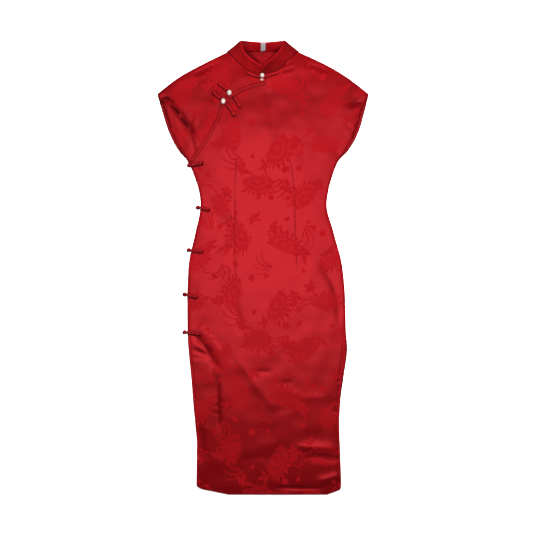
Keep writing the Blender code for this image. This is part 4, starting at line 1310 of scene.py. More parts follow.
@dataclass(frozen=True)
class Weave:
    """The figured satin's repeat and its node groups."""

    repeat_x: float = 0.360
    repeat_y: float = 0.420
    drift: float = 0.016
    ragged: float = 0.006

    def nearest_group(self) -> bpy.types.NodeTree:
        """The group that keeps the nearer of two figures.

        The place minus the centre is wrapped into one repeat. Where its length over the size
        is less than the distance so far, it replaces the best one, with its turn and size.

        Returns:
            The group.
        """
        outputs = {"Best": "Vector", "Best Form": "Vector", "Distance": "Float"}
        inputs = {"Place": "Vector", "Centre": "Vector", "Form": "Vector", **outputs}
        tree, g, given, taken = group_graph("woven_nearest", inputs, outputs)
        half = (self.repeat_x / 2, self.repeat_y / 2, 0.5)
        low = tuple(-v for v in half)
        near = g.vector("WRAP", g.vector("SUBTRACT", given["Place"], given["Centre"]), half, low)
        length = g.node("VectorMath", {0: near}, operation="LENGTH").outputs["Value"]
        size = g.node("SeparateXYZ", {"Vector": given["Form"]}).outputs["Y"]
        distance = g.math("DIVIDE", length, size)
        closer = g.math("LESS_THAN", distance, given["Distance"])
        g.feed(taken["Best"], g.choose(closer, given["Best"], near))
        g.feed(taken["Best Form"], g.choose(closer, given["Best Form"], given["Form"]))
        g.feed(taken["Distance"], g.math("MINIMUM", distance, given["Distance"]))
        return tree

    def polar(self, g: Graph, given: dict[str, Socket]) -> tuple[Socket, Socket, Socket]:
        """Turns a place near a figure into the figure's own polar coordinates.

        Args:
            g: The group's graph.
            given: The group's inputs Near and Form, which holds the turn and the size.

        Returns:
            The radius, 1 at the figure's edge, the angle, from -0.5 to 0.5 of a turn, and the
            figure's turn.
        """
        form = g.node("SeparateXYZ", {"Vector": given["Form"]})
        turn, size = form.outputs["X"], form.outputs["Y"]
        turned = g.node("VectorRotate", {"Vector": given["Near"], "Angle": turn}, rotation_type="Z_AXIS")
        parts = g.node("SeparateXYZ", {"Vector": turned.outputs[0]})
        x, y = parts.outputs["X"], g.math("MULTIPLY", parts.outputs["Y"], form.outputs["Z"])
        square = g.math("ADD", g.math("MULTIPLY", x, x), g.math("MULTIPLY", y, y))
        radius = g.math("DIVIDE", g.math("SQRT", square), size)
        return radius, g.math("DIVIDE", g.math("ARCTAN2", y, x), TURN), turn

    def petal_group(self) -> bpy.types.NodeTree:
        """The group of one flower or leaf.

        The edge is at R = (1 - n · w^sharp)(1 + lean · sin a)(1 + vary · chance), where n is
        notch(0.68 + 0.32 sin a), w goes from 0 on a petal's axis to 1 between petals, and
        chance is the petal's own. Ribs are the lines at w near 1 and at the rings.

        Returns:
            The group.
        """
        inputs = {"Near": "Vector", "Form": "Vector", **{n: "Float" for n in PETAL_INPUTS}}
        tree, g, given, taken = group_graph("woven_flower", inputs, {"Mask": "Float"})
        radius, angle, turn = self.polar(g, given)
        count = g.math("MULTIPLY", angle, given["Petals"])
        step = g.math("FRACT", count)
        which = g.math("MULTIPLY_ADD", turn, 7.3, g.math("FLOOR", count))
        chance = g.node("TexWhiteNoise", {"W": which}, noise_dimensions="1D").outputs["Value"]
        uneven = g.math("MULTIPLY_ADD", g.math("SUBTRACT", chance, 0.5), given["Vary"], 1)
        w = g.math("MULTIPLY", g.math("ABSOLUTE", g.math("SUBTRACT", step, 0.5)), 2)
        swing = g.math("SINE", g.math("MULTIPLY", angle, TURN))
        depth = g.math("MULTIPLY", given["Notch"], g.math("MULTIPLY_ADD", swing, 0.32, 0.68))
        cut = g.math("MULTIPLY", depth, g.math("POWER", w, given["Sharp"]))
        lean = g.math("MULTIPLY_ADD", swing, given["Lean"], 1)
        edge = g.math("MULTIPLY", g.math("MULTIPLY", g.math("SUBTRACT", 1, cut), lean), uneven)
        inside = g.ramp(g.math("SUBTRACT", edge, radius), 0, 0.05)
        between = g.ramp(w, 0.70, 0.90)
        ring = g.math("FRACT", g.math("MULTIPLY_ADD", w, 0.40, g.math("MULTIPLY", radius, 2.7)))
        rings = g.ramp(g.math("ABSOLUTE", g.math("SUBTRACT", ring, 0.5)), 0.17, 0.05)
        lines = g.math("MULTIPLY", g.math("MAXIMUM", between, rings), given["Ribs"])
        g.feed(taken["Mask"], g.math("MULTIPLY", inside, g.math("SUBTRACT", 1, lines)))
        return tree

    def spray_group(self) -> bpy.types.NodeTree:
        """The group of a spray: thin lines at 11(a + 0.22 r) = n + 1/2 turns, over a third of it.

        Returns:
            The group.
        """
        inputs = {"Near": "Vector", "Form": "Vector"}
        tree, g, given, taken = group_graph("woven_spray", inputs, {"Mask": "Float"})
        radius, angle, _ = self.polar(g, given)
        bent = g.math("MULTIPLY_ADD", radius, 0.22, angle)
        step = g.math("SUBTRACT", g.math("FRACT", g.math("MULTIPLY", bent, 11)), 0.5)
        off = g.math("MULTIPLY", g.math("ABSOLUTE", step), radius)
        line = g.ramp(off, 0.095, 0.045)
        reach = g.ramp(g.math("ABSOLUTE", g.math("SUBTRACT", bent, 0.1)), 0.19, 0.16)
        ends = g.ramp(g.math("ABSOLUTE", g.math("SUBTRACT", radius, 0.55)), 0.48, 0.36)
        g.feed(taken["Mask"], g.math("MULTIPLY", g.math("MULTIPLY", line, reach), ends))
        return tree

    def pick(
        self, g: Graph, place: Socket, nearest_of: bpy.types.NodeTree, places: tuple, squeeze: float
    ) -> tuple[Socket, Socket]:
        """Chains the nearest group over all places of one kind of figure.

        Args:
            g: The graph.
            place: Where on the cloth.
            nearest_of: The group that keeps the nearer figure.
            places: The figures' centres, turns and sizes.
            squeeze: How much narrower they are one way.

        Returns:
            The place relative to the nearest figure, and that figure's turn and size.
        """
        best, form, distance = (9.0, 9.0, 0.0), (0.0, 0.01, 1.0), 1000.0
        for x, y, turn, size in places:
            values = {
                "Place": place,
                "Centre": (x, y, 0),
                "Form": (turn, size, squeeze),
                "Best": best,
                "Best Form": form,
                "Distance": distance,
            }
            made = g.group(nearest_of, values)
            best, form, distance = (made.outputs[n] for n in ("Best", "Best Form", "Distance"))
        return best, form

    def layout_group(self) -> bpy.types.NodeTree:
        """The whole repeat: the greatest mask of all kinds of figure at a place.

        Returns:
            The group.
        """
        tree, g, given, taken = group_graph("woven_repeat", {"Place": "Vector"}, {"Figure": "Float"})
        moved = given["Place"]
        for scale, reach in ((22.0, self.drift), (130.0, self.ragged)):
            noise = g.node("TexNoise", {"Vector": given["Place"], "Scale": scale, "Detail": 1.0})
            offset = g.vector("SUBTRACT", noise.outputs["Color"], (0.5, 0.5, 0.5))
            moved = g.vector("MULTIPLY_ADD", offset, (reach, reach, 0), moved)
        nearest_of, flower, spray = self.nearest_group(), self.petal_group(), self.spray_group()
        near, form = self.pick(g, moved, nearest_of, SPRAYS, 1.0)
        total = g.group(spray, {"Near": near, "Form": form}).outputs["Mask"]
        for figure in (HEADS, LEAVES, PETALS, BLOSSOMS):
            near, form = self.pick(g, moved, nearest_of, figure.places, figure.squeeze)
            shape = {name: getattr(figure, name.lower()) for name in PETAL_INPUTS}
            made = g.group(flower, {"Near": near, "Form": form, **shape})
            total = g.math("MAXIMUM", total, made.outputs["Mask"])
        g.feed(taken["Figure"], total)
        return tree

    def thread_group(self) -> bpy.types.NodeTree:
        """The satin floats: noise drawn out along the warp, and finer along the weft.

        Returns:
            The group.
        """
        tree, g, given, taken = group_graph(
            "satin_threads", {"Place": "Vector", "Pitch": "Float"}, {"Height": "Float"}
        )
        count = g.math("DIVIDE", 1, given["Pitch"])
        stretched = g.vector("MULTIPLY", given["Place"], (1.0, 0.12, 1.0))
        warp = g.node("TexNoise", {"Vector": stretched, "Scale": count, "Detail": 1.0})
        across = g.vector("MULTIPLY", given["Place"], (0.12, 1.0, 1.0))
        weft = g.node("TexNoise", {"Vector": across, "Scale": count, "Detail": 0.0})
        mixed = g.math("MULTIPLY_ADD", weft.outputs[0], 0.35, warp.outputs[0])
        g.feed(taken["Height"], mixed)
        return tree


@dataclass(frozen=True)
class Tone:
    """A colour in linear light."""

    red: float
    green: float
    blue: float

    def value(self, share: float = 1.0) -> tuple[float, float, float, float]:
        """The colour times a share, as a socket takes it."""
        return (self.red * share, self.green * share, self.blue * share, 1.0)


@dataclass(frozen=True)
class Satin:
    """Satin: a ground of long floats that shines, with or without a woven figure."""

    name: str
    ground: Tone
    figure: Tone
    shine: Tone
    ground_rough: float
    figure_rough: float
    level: float
    figured: bool = True
    thread: float = 0.00035
    thread_height: float = 0.00003
    # The colour's share where painted shade is deepest, and the painted light at which the figure fades
    seam_shade: float = 0.22
    fade_depth: float = -0.40
    fade_from: float = -0.05
    fade: float = 0.35

    def material(self, groups: dict[str, bpy.types.NodeTree]) -> Material:
        """Makes the material. The figure fades where painted light lightens the cloth.

        Args:
            groups: The weave's node groups, by name.

        Returns:
            The material.
        """
        made, g, shader = start_material(self.name)
        place = g.place()
        mottle = g.ramp(g.noise(place, 14, 3), 0.3, 0.7, 0.96, 1.04)
        rough = self.ground_rough
        colour = self.ground.value()[:3]
        if self.figured:
            layout = g.group(groups["woven_repeat"], {"Place": place})
            # The figure fades where painted light lightens the cloth
            faded = g.ramp(g.depth(), self.fade_depth, self.fade_from, self.fade, 1.0)
            figure = g.math("MULTIPLY", layout.outputs["Figure"], faded)
            colour = g.blend(figure, self.ground.value(), self.figure.value())
            rough = g.between(figure, self.ground_rough, self.figure_rough)
        # Painted shade darkens the base colour and painted light lightens it, by the seam attribute;
        # painted shade also makes the cloth rougher
        shade = g.between(g.depth(), 1.0, self.seam_shade)
        dull = g.math("MULTIPLY", g.depth(), 1.1, clamp=True)
        inputs = {
            "Base Color": g.scaled(colour, g.math("MULTIPLY", mottle, shade)),
            "Roughness": g.math("MAXIMUM", rough, dull),
            "Specular IOR Level": self.level,
            "Specular Tint": self.shine.value(),
        }
        g.fill(shader, inputs)
        threads = g.group(groups["satin_threads"], {"Place": place, "Pitch": self.thread})
        g.bump(shader, threads.outputs[0], 0.5, self.thread_height)
        made.diffuse_color = self.ground.value(2.0)
        return made


@dataclass(frozen=True)
class RolledSatin:
    """Satin rolled into a cord, with its cut on the bias and its edges turned under."""

    name: str
    tone: Tone
    shine: Tone
    rough: float
    level: float
    thread: float = 0.0004
    thread_height: float = 0.00005
    ribs_a_metre: float = 420

    def material(self, groups: dict[str, bpy.types.NodeTree]) -> Material:
        """Makes the material: a slanting grain round the cord, with painted shade on its sides that turn
        away from the light.

        Args:
            groups: The weave's node groups, by name.

        Returns:
            The material.
        """
        made, g, shader = start_material(self.name)
        parts = g.node("SeparateXYZ", {"Vector": g.place()})
        slant = g.math("MULTIPLY_ADD", parts.outputs["Y"], self.ribs_a_metre, parts.outputs["X"])
        wave = g.math("SINE", g.math("MULTIPLY", slant, TURN))
        rib = g.ramp(wave, -1, 1)
        place = g.node("TexCoord").outputs["Object"]
        uneven = g.ramp(g.noise(place, 260, 2), 0.3, 0.7, 0.85, 1.15)
        tone = g.math("MULTIPLY", g.between(rib, 0.82, 1.0), uneven)
        # Painted shade by the seam attribute: deepest where the cord turns away from the light
        tone = g.math("MULTIPLY", tone, g.between(g.depth(), 1.0, 0.08))
        inputs = {
            "Base Color": g.scaled(self.tone.value()[:3], tone),
            "Roughness": g.between(rib, self.rough + 0.1, self.rough),
            "Specular IOR Level": self.level,
            "Specular Tint": self.shine.value(),
        }
        g.fill(shader, inputs)
        threads = g.group(groups["satin_threads"], {"Place": place, "Pitch": self.thread})
        height = g.math("MULTIPLY_ADD", rib, 2.0, threads.outputs[0])
        g.bump(shader, height, 0.6, self.thread_height)
        made.diffuse_color = self.tone.value(2.0)
        return made


@dataclass(frozen=True)
class PearlFinish:
    """Glossy pearl: a creamy body, a faint warm and cool drift, a painted red reflection and a clear
    coat.
    """

    name: str
    body: Tone
    drift: Tone
    painted_red_reflection: Tone
    rough: float

    def material(self) -> Material:
        """Makes the material.

        Returns:
            The material.
        """
        made, g, shader = start_material(self.name)
        place = g.node("TexCoord").outputs["Object"]
        drift = g.ramp(g.noise(place, 160, 2), 0.35, 0.65)
        pale = g.blend(drift, self.body.value(), self.drift.value())
        inputs = {
            # The seam attribute mixes in the painted reflection of the red cloth
            "Base Color": g.blend(g.depth(), pale, self.painted_red_reflection.value()),
            "Roughness": g.between(drift, self.rough, self.rough + 0.08),
            "Coat Weight": 0.5,
            "Coat Roughness": 0.08,
        }
        g.fill(shader, inputs)
        g.bump(shader, g.noise(place, 900, 2), 0.25, 0.00002)
        made.diffuse_color = self.body.value()
        return made


# How far apart the ribbon's ribs and its folds are
RIBBON_RIB = 0.0007
RIBBON_FOLD = 0.0048


@dataclass(frozen=True)
class RibbonFinish:
    """Grey satin ribbon with fine ribs along it and painted shade along two soft lengthwise folds."""

    name: str
    light: Tone
    dark: Tone
    rough: float

    def material(self) -> Material:
        """Makes the material.

        Returns:
            The material.
        """
        made, g, shader = start_material(self.name)
        place = g.place()
        across = g.node("SeparateXYZ", {"Vector": place}).outputs["X"]
        rib = g.math("SINE", g.math("MULTIPLY", across, TURN / RIBBON_RIB))
        # Painted shade: the dark tone is painted along the two lengthwise folds, over the tab's real
        # waves
        fold = g.ramp(g.math("SINE", g.math("MULTIPLY", across, TURN / RIBBON_FOLD)), 0.2, 1)
        g.feed(shader.inputs["Base Color"], g.blend(fold, self.light.value(), self.dark.value()))
        g.feed(shader.inputs["Roughness"], g.between(fold, self.rough, self.rough + 0.12))
        g.bump(shader, rib, 0.5, 0.00003)
        made.diffuse_color = self.light.value()
        return made


RED_SHINE = Tone(1.0, 0.052, 0.066)
DRESS_SATIN = Satin(
    name="red_figured_satin",
    ground=Tone(0.050, 0.0004, 0.0009),
    figure=Tone(0.093, 0.0008, 0.0017),
    shine=RED_SHINE,
    ground_rough=0.36,
    figure_rough=0.78,
    level=0.64,
)
COLLAR_SATIN = Satin(
    name="red_collar_satin",
    ground=Tone(0.088, 0.0008, 0.0016),
    figure=Tone(0.097, 0.0009, 0.0018),
    shine=RED_SHINE,
    ground_rough=0.44,
    figure_rough=0.50,
    level=0.56,
)
PIPING_SATIN = Satin(
    name="red_piping_satin",
    ground=Tone(0.058, 0.0006, 0.0012),
    figure=Tone(0.058, 0.0006, 0.0012),
    shine=RED_SHINE,
    ground_rough=0.45,
    figure_rough=0.45,
    level=0.56,
    figured=False,
)
CORD_SATIN = RolledSatin(
    name="rolled_red_satin",
    tone=Tone(0.125, 0.0020, 0.0032),
    shine=Tone(1.0, 0.08, 0.10),
    rough=0.38,
    level=0.45,
)
PEARL_WHITE = PearlFinish(
    name="pearl_white",
    body=Tone(0.200, 0.186, 0.164),
    drift=Tone(0.195, 0.148, 0.125),
    painted_red_reflection=Tone(0.175, 0.075, 0.060),
    rough=0.16,
)
RIBBON_GREY = RibbonFinish(
    name="grey_satin_ribbon",
    light=Tone(0.200, 0.206, 0.212),
    dark=Tone(0.135, 0.141, 0.146),
    rough=0.40,
)


# Pieces


@dataclass
class Dressing:
    """What every piece needs: the materials, by slot, and its body."""

    materials: dict[Slot, Material]
    made: dict[str, Piece] = field(default_factory=dict)

    def dress(self, piece: Piece, slot: Slot, *nodes: str) -> Piece:
        """Rides a piece on the dress in place of its solids.

        Args:
            piece: The piece.
            slot: The record's material slot; not used.
            nodes: The solids that it stands for.

        Returns:
            The piece.
        """
        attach(piece, "root")
        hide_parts(*nodes)
        self.made[piece.name] = piece
        faces = sum(len(p.vertices) - 2 for p in piece.data.polygons)
        LOG.info("%s: %d triangles, in place of %s", piece.name, faces, ", ".join(nodes))
        return piece


@dataclass
class Body:
    """The cloth of the body: two halves of the back, the main front and the shoulder piece."""

    form: Form
    dressing: Dressing
    back_pitch: float = 0.005
    front_pitch: float = 0.0030
    hem_pitch: float = 0.0019
    hem_top: float = -0.588
    front_top: float = 0.581
    back_neck_y: float = 0.5858
    back_neck_half: float = 0.088
    shoulder_tip_x: float = -0.2852
    # Painted shade at the back's outer edge and its centre seam, painted light inside the neck, and
    # painted shade along the darts and the hem line
    rim_shade: float = 0.7
    rim_width: float = 0.006
    seam_line_shade: float = 0.3
    seam_half: float = 0.0014
    neck_light: float = 0.42
    neck_half_x: float = 0.05
    neck_half_y: float = 0.03
    dart_seam_shade: float = 0.5
    hem_line_shade: float = 0.45

    def rows(self, high: float, pitch: float) -> Array:
        """Cross rows: fine over the hem, then at one pitch up to the top.

        Args:
            high: The top row's place.
            pitch: The step between the rows above the hem.

        Returns:
            The rows' places along the dress.
        """
        low = np.arange(SECTIONS[0].y, self.hem_top, self.hem_pitch)
        count = max(2, round((high - self.hem_top) / pitch))
        return np.concatenate([low, np.linspace(self.hem_top, high, count + 1)])

    def back(self, side: Side) -> Piece:
        """One half of the back: flat on the surface, with a few soft hollows under it.

        Painted shade darkens its outer edge, its seam and the cloth beside the collar, and painted
        light lightens the inside of the neck.

        Args:
            side: Which half.

        Returns:
            The half.
        """
        rows = self.rows(SECTIONS[-1].y, self.back_pitch)
        rows = np.append(rows, self.back_neck_y)
        edge = self.form.edge(f"back_{side.name.lower()}", rows)
        edge[-1] = side.value * self.back_neck_half
        seam = side.value * SEAM_GAP / 2
        share = np.concatenate([[0, 0.006, 0.02], np.linspace(0.05, 0.95, 44), [0.98, 1]])
        x = seam + (edge[:, None] - seam) * share
        y = np.broadcast_to(rows[:, None], x.shape)
        room = ease((1 - share) * 8) * np.ones_like(y)
        lift = self.form.folds(x, y, BACK_FOLDS) * room
        low = np.stack([x, y, lift], axis=-1)
        high = low + [0, 0, CLOTH]
        place = flat_place(x + 0.13, y + 0.07)
        # Painted shade at the outer edge, at the centre seam and beside the collar
        rim = self.rim_shade * tent(edge[:, None] - x, self.rim_width)
        mark = np.maximum(self.seam_line_shade * tent(x, self.seam_half), rim)
        for shade_line in NECK_SHADE:
            d, _ = nearest(x, y, shade_line.path)
            mark = np.maximum(mark, shade_line.depth * bell(d, shade_line.half))
        # Painted light inside the neck
        nearby = bell(x, self.neck_half_x) * bell(y - self.back_neck_y, self.neck_half_y)
        mark = mark - self.neck_light * nearby
        name = f"back_{side.name.lower()}"
        made = shell(name + "_cloth", high, low, place, mark, self.dressing.materials[Slot.SATIN])
        return self.dressing.dress(made, Slot.SATIN, name)

    def front(self) -> Piece:
        """The main front: rows up the dress, columns that follow both darts and both edges.

        Returns:
            The main front.
        """
        form = self.form
        rows = self.rows(self.front_top, self.front_pitch)
        left, right = form.main_left(rows), form.edge("front_right", rows)
        width = right - left
        inset = [np.minimum(v, width * v / 0.08) for v in (0.0018, 0.0040, 0.0055, 0.0070, 0.0100)]
        flank = [np.minimum(v, width * v / 0.18) for v in (0.0060, 0.0015)]
        stops = [left, *(left + v for v in inset)]
        for dart in DARTS:
            middle = form.dart_column(dart, rows, left, right)
            stops += [middle + v for v in (-flank[0], -flank[1], 0, flank[1], flank[0])]
        stops += [*(right - v for v in inset[::-1]), right]
        cells = (1, 1, 1, 1, 1, 24, 2, 1, 1, 2, 34, 2, 1, 1, 2, 26, 1, 1, 1, 1, 1)
        x = spread(stops, cells)
        y = np.broadcast_to(rows[:, None], x.shape)
        dip, seam = form.dart_dip(x, y)
        groove = form.hem_groove(x, y, left[:, None], right[:, None])
        z = np.maximum(form.front(x, y) - dip - form.hem_depth * groove, EDGE_TOP)
        outer = np.stack([x, y, z], axis=-1)
        # Painted shade in the creases, under the cords, along the darts and the hem line, and painted
        # light along the outline and on the shoulders
        mark = form.mark(x, y)
        dart_and_hem_shade = np.maximum(self.dart_seam_shade * seam, self.hem_line_shade * groove)
        mark = np.where(mark < 0, mark, np.maximum(mark, dart_and_hem_shade))
        satin = self.dressing.materials[Slot.SATIN]
        made = shell("front_cloth", outer, outer - [0, 0, CLOTH], flat_place(x, y), mark, satin)
        return self.dressing.dress(made, Slot.SATIN, "front_main")

    def shoulder(self) -> Piece:
        """The shoulder piece, from the armhole to the centre front, over the slanted opening.

        Returns:
            The shoulder piece.
        """
        form = self.form
        armpit, neck = SECTIONS[ARMPIT].front_left, SECTIONS[-1].front_left
        ends = (self.shoulder_tip_x, armpit, OPENING[0][0], neck, 0, form.centre_x)
        x = spread([np.array(end) for end in ends], (42, 8, 42, 46, 5))
        armhole = np.linspace(SECTIONS[TIP].y, OPENING[0][1], 90)
        side = np.stack([form.edge("front_left", armhole), armhole], axis=1)
        low = np.concatenate([side, form.opening])
        seam_y = np.linspace(SECTIONS[TIP].y, SECTIONS[-1].y, 60)
        line = np.stack([form.edge("front_left", seam_y), seam_y], axis=1)
        high = np.concatenate(
            [line, form.collar_seam(Side.LEFT)[::-1], [[form.centre_x, form.centre_top]]]
        )
        share = np.linspace(0, 1, 100)[:, None]
        y_low, y_high = np.interp(x, low[:, 0], low[:, 1]), np.interp(x, high[:, 0], high[:, 1])
        y = y_low + (y_high - y_low) * share
        x = np.broadcast_to(x, y.shape)
        outer = np.stack([x, y, form.shoulder(x, y)], axis=-1)
        place = flat_place(x + 0.05, y - 0.02)
        satin = self.dressing.materials[Slot.SATIN]
        # Painted shade and light, as on the main front
        made = shell("shoulder_cloth", outer, outer - [0, 0, CLOTH], place, form.mark(x, y), satin)
        return self.dressing.dress(made, Slot.SATIN, "front_shoulder")

    def build(self) -> None:
        """Makes all four."""
        self.back(Side.LEFT)
        self.back(Side.RIGHT)
        self.front()
        self.shoulder()


@dataclass
class Trims:
    """The piped strip of the slanted opening and the two armhole bindings."""

    form: Form
    dressing: Dressing
    strip_crown: float = 0.0003
    # The strip's seam width and the painted shade at its seam and at its free side
    strip_seam: float = 0.16
    strip_seam_depth: float = 0.7
    strip_edge_depth: float = 0.5
    binding_width: float = 0.008
    binding_low: float = 0.308
    binding_high: float = 0.443
    binding_crown: float = 0.0005
    # The binding's seam width, the painted shade at its seam and over the whole binding
    binding_seam: float = 0.3
    binding_seam_depth: float = 0.8
    binding_depth: float = 0.3

    def band(
        self,
        names: tuple[str, str],
        edge: Array,
        width: float,
        plan: Array,
        base: Array,
        crown: float,
        mark: Array,
    ) -> Piece:
        """A narrow band: across it the height is base + trim + crown · (1 - (2u - 1)⁴).

        Args:
            names: The piece's name and its solid's.
            edge: The line that the band follows.
            width: How wide the band is.
            plan: Lines beside it, over the band's width.
            base: The height of the band's underside at each point.
            crown: How much higher the middle is than the sides.
            mark: How much painted shade each line has.

        Returns:
            The band.
        """
        across = np.linspace(0, 1, len(plan))
        rise = TRIM + crown * (1 - (2 * across - 1) ** 4)[:, None] + 0 * base
        low = np.concatenate([plan, base[..., None]], axis=-1)
        high = low + np.stack([0 * base, 0 * base, rise], axis=-1)
        place = flat_place(across[:, None] * width, lengths_along(edge))
        shade = np.broadcast_to(mark[:, None], base.shape)
        made = shell(names[0], high, low, place, shade, self.dressing.materials[Slot.PIPING])
        return self.dressing.dress(made, Slot.PIPING, names[1])

    def strip(self) -> Piece:
        """The strip on the shoulder piece's free edge, with painted shade at its seam and at its other
        side.

        Returns:
            The strip.
        """
        form = self.form
        edge = opening_line(150)
        across = np.linspace(0, 1, 9)
        plan = np.stack([shifted(edge, form.strip_width * u) for u in across], axis=0)
        base = form.shoulder(plan[..., 0], plan[..., 1]) + SEAM_GAP
        # Painted shade along the seam side and the free side of the strip
        outer = self.strip_seam_depth * tent(across, self.strip_seam)
        mark = np.maximum(outer, self.strip_edge_depth * tent(1 - across, self.strip_seam))
        names = ("opening_strip", "placket_strip")
        return self.band(names, edge, form.strip_width, plan, base, self.strip_crown, mark)

    def binding(self, side: Side) -> Piece:
        """One armhole binding: it lies along the back's edge.

        Args:
            side: Which armhole.

        Returns:
            The binding.
        """
        y = np.linspace(self.binding_low, self.binding_high, 60)
        name = side.name.lower()
        edge = np.stack([self.form.edge(f"back_{name}", y), y], axis=1)
        across = np.linspace(0, 1, 7)
        width = side.value * self.binding_width
        plan = np.stack([shifted(edge, width * u) for u in across], axis=0)
        base = np.full(plan.shape[:2], CLOTH + SEAM_GAP)
        # Painted shade over the whole binding, deeper at its seam
        seam = self.binding_seam_depth * tent(across, self.binding_seam)
        mark = np.maximum(self.binding_depth, seam)
        names = (f"armhole_binding_{name}_cloth", f"armhole_binding_{name}")
        return self.band(names, edge, self.binding_width, plan, base, self.binding_crown, mark)

    def build(self) -> None:
        """Makes all three."""
        self.strip()
        self.binding(Side.LEFT)
        self.binding(Side.RIGHT)


@dataclass
class CollarBand:
    """The stand collar and the ribbon tab inside its back."""

    form: Form
    dressing: Dressing
    columns: int = 260
    rows: int = 15
    crease_height: float = 0.0036
    roll: float = 0.0006
    # Painted shade at the sewn foot and a painted highlight along the top edge
    seam_line_shade: float = 0.5
    seam_share: float = 0.08
    rim_light: float = 0.7
    rim_share: float = 0.10
    tab_left: float = -0.005
    tab_right: float = 0.006
    tab_foot_left: float = 0.04
    tab_foot_right: float = 0.16
    tab_head: float = 0.97
    tab_wave: float = 0.0004
    groups: dict[str, bpy.types.NodeTree] = field(default_factory=dict)

    def middle(self, columns: int, rows: int) -> Array:
        """The band's middle surface: seam + (top - seam) · share, between curves of stations.

        Args:
            columns: Places along the band.
            rows: Places up it.

        Returns:
            Grid of points.
        """
        count = len(COLLAR)
        at = np.linspace(0, count - 1, columns)
        seam_x, seam_y = np.array([s.seam_x for s in COLLAR]), np.array([s.seam_y for s in COLLAR])
        over = np.where(
            seam_x < self.form.centre_x / 2,
            self.form.shoulder(seam_x, seam_y),
            self.form.front(seam_x, seam_y),
        )
        seam_z = over + SEAM_GAP + BAND / 2
        seam_z[FIRST_BACK : LAST_BACK + 1] = CLOTH + SEAM_GAP + BAND / 2
        seam_z[[FIRST_BACK - 1, LAST_BACK + 1]] = self.crease_height
        seam_z[-1], seam_z[-2] = seam_z[0], seam_z[1]
        keys = np.arange(count)
        feet = (seam_x, seam_y, seam_z)
        tops = ([s.top_x for s in COLLAR], [s.top_y for s in COLLAR], [s.top_z for s in COLLAR])
        seam = np.stack([smooth(keys, v, at) for v in feet], axis=-1)
        top = np.stack([smooth(keys, v, at) for v in tops], axis=-1)
        share = np.linspace(0, 1, rows)[:, None, None]
        return seam + (top - seam) * share

    def collar(self) -> Piece:
        """The band: its two faces are half a wall out from the middle, with a soft top roll.

        Returns:
            The collar.
        """
        middle = self.middle(self.columns, self.rows)
        out = normals_of(middle)
        share = np.linspace(0, 1, self.rows)[:, None]
        bulge = self.roll * np.sin(np.pi * share)[..., None]
        outer = middle + out * (bulge + BAND / 2)
        inner = np.maximum(middle + out * (bulge - BAND / 2), [-1, -1, 0.0])
        place = flat_place(lengths_along(middle.mean(axis=0)) + 0.02, share * 0.04 + 0.11)
        at = np.linspace(0, len(COLLAR) - 1, self.columns)
        # Painted shade at the sewn foot of the band, a painted highlight along its top edge, and the
        # painted shade and light of COLLAR_SHADE along it
        seam = self.seam_line_shade * tent(share, self.seam_share)
        rim = self.rim_light * tent(1 - share, self.rim_share)
        mark = seam - rim + read_off(COLLAR_SHADE, at)
        material = COLLAR_SATIN.material(self.groups)
        made = shell("collar_band", outer, inner, place, mark, material)
        return self.dressing.dress(made, Slot.SATIN, "collar")

    def tab(self) -> Piece:
        """The ribbon tab: lines of the collar's back, moved in by half a wall and a gap.

        Returns:
            The tab.
        """
        middle = self.middle(2 * len(COLLAR) - 1, 5)
        back = middle[:, 2 * FIRST_BACK : 2 * LAST_BACK + 1]
        places = np.linspace(self.tab_left, self.tab_right, 13)
        foot, head = (
            np.stack([np.interp(places, line[:, 0], line[:, k]) for k in range(3)], axis=-1)
            for line in (back[0], back[-1])
        )
        start = np.linspace(self.tab_foot_left, self.tab_foot_right, len(places))
        shares = start + (self.tab_head - start) * np.linspace(0, 1, 24)[:, None]
        grid = foot + (head - foot) * shares[..., None]
        facing = normals_of(grid)
        inward = facing * -np.sign(facing[..., 1:2])
        near = BAND / 2 + SEAM_GAP
        waved = np.sin(TURN * (places - self.tab_left) / RIBBON_FOLD)[None, :, None]
        place = flat_place(places, shares * 0.024)
        ribbon = self.dressing.materials[Slot.RIBBON]
        far = near + TRIM + self.tab_wave * waved + self.tab_wave
        high, low = grid + inward * far, grid + inward * near
        made = shell("ribbon_tab", high, low, place, 0 * shares, ribbon)
        return self.dressing.dress(made, Slot.RIBBON, "neck_tab")

    def build(self, groups: dict[str, bpy.types.NodeTree]) -> None:
        """Makes both.

        Args:
            groups: The weave's node groups, by name.
        """
        self.groups = groups
        self.collar()
        self.tab()


@dataclass(frozen=True)
class Arm:
    """One corded arm of a frog: its path from the button out, its end's swell and its shade."""

    name: str
    path: tuple[tuple[float, float], ...]
    swell: float
    half_width: float = 0.0027
    shade: float = 0.0


FROG_ARMS = (
    Arm("collar_frog_left", ((-0.0095, 0.5145), (-0.0250, 0.5185), (-0.0430, 0.5265)), 1.25),
    Arm("collar_frog_right", ((0.0075, 0.5135), (0.0195, 0.5200), (0.0380, 0.5252)), 1.25),
    Arm("chest_frog_a_left", ((-0.0975, 0.4795), (-0.1080, 0.4885), (-0.1190, 0.4965)), 1.10),
    Arm("chest_frog_a_right", ((-0.0820, 0.4645), (-0.0735, 0.4550), (-0.0620, 0.4340)), 1.45),
    Arm("chest_frog_b_left", ((-0.1150, 0.4560), (-0.1240, 0.4635), (-0.1340, 0.4720)), 1.10),
    Arm("chest_frog_b_right", ((-0.0985, 0.4410), (-0.0895, 0.4310), (-0.0770, 0.4100)), 1.45),
)

KNOT_RADIUS = 0.0066

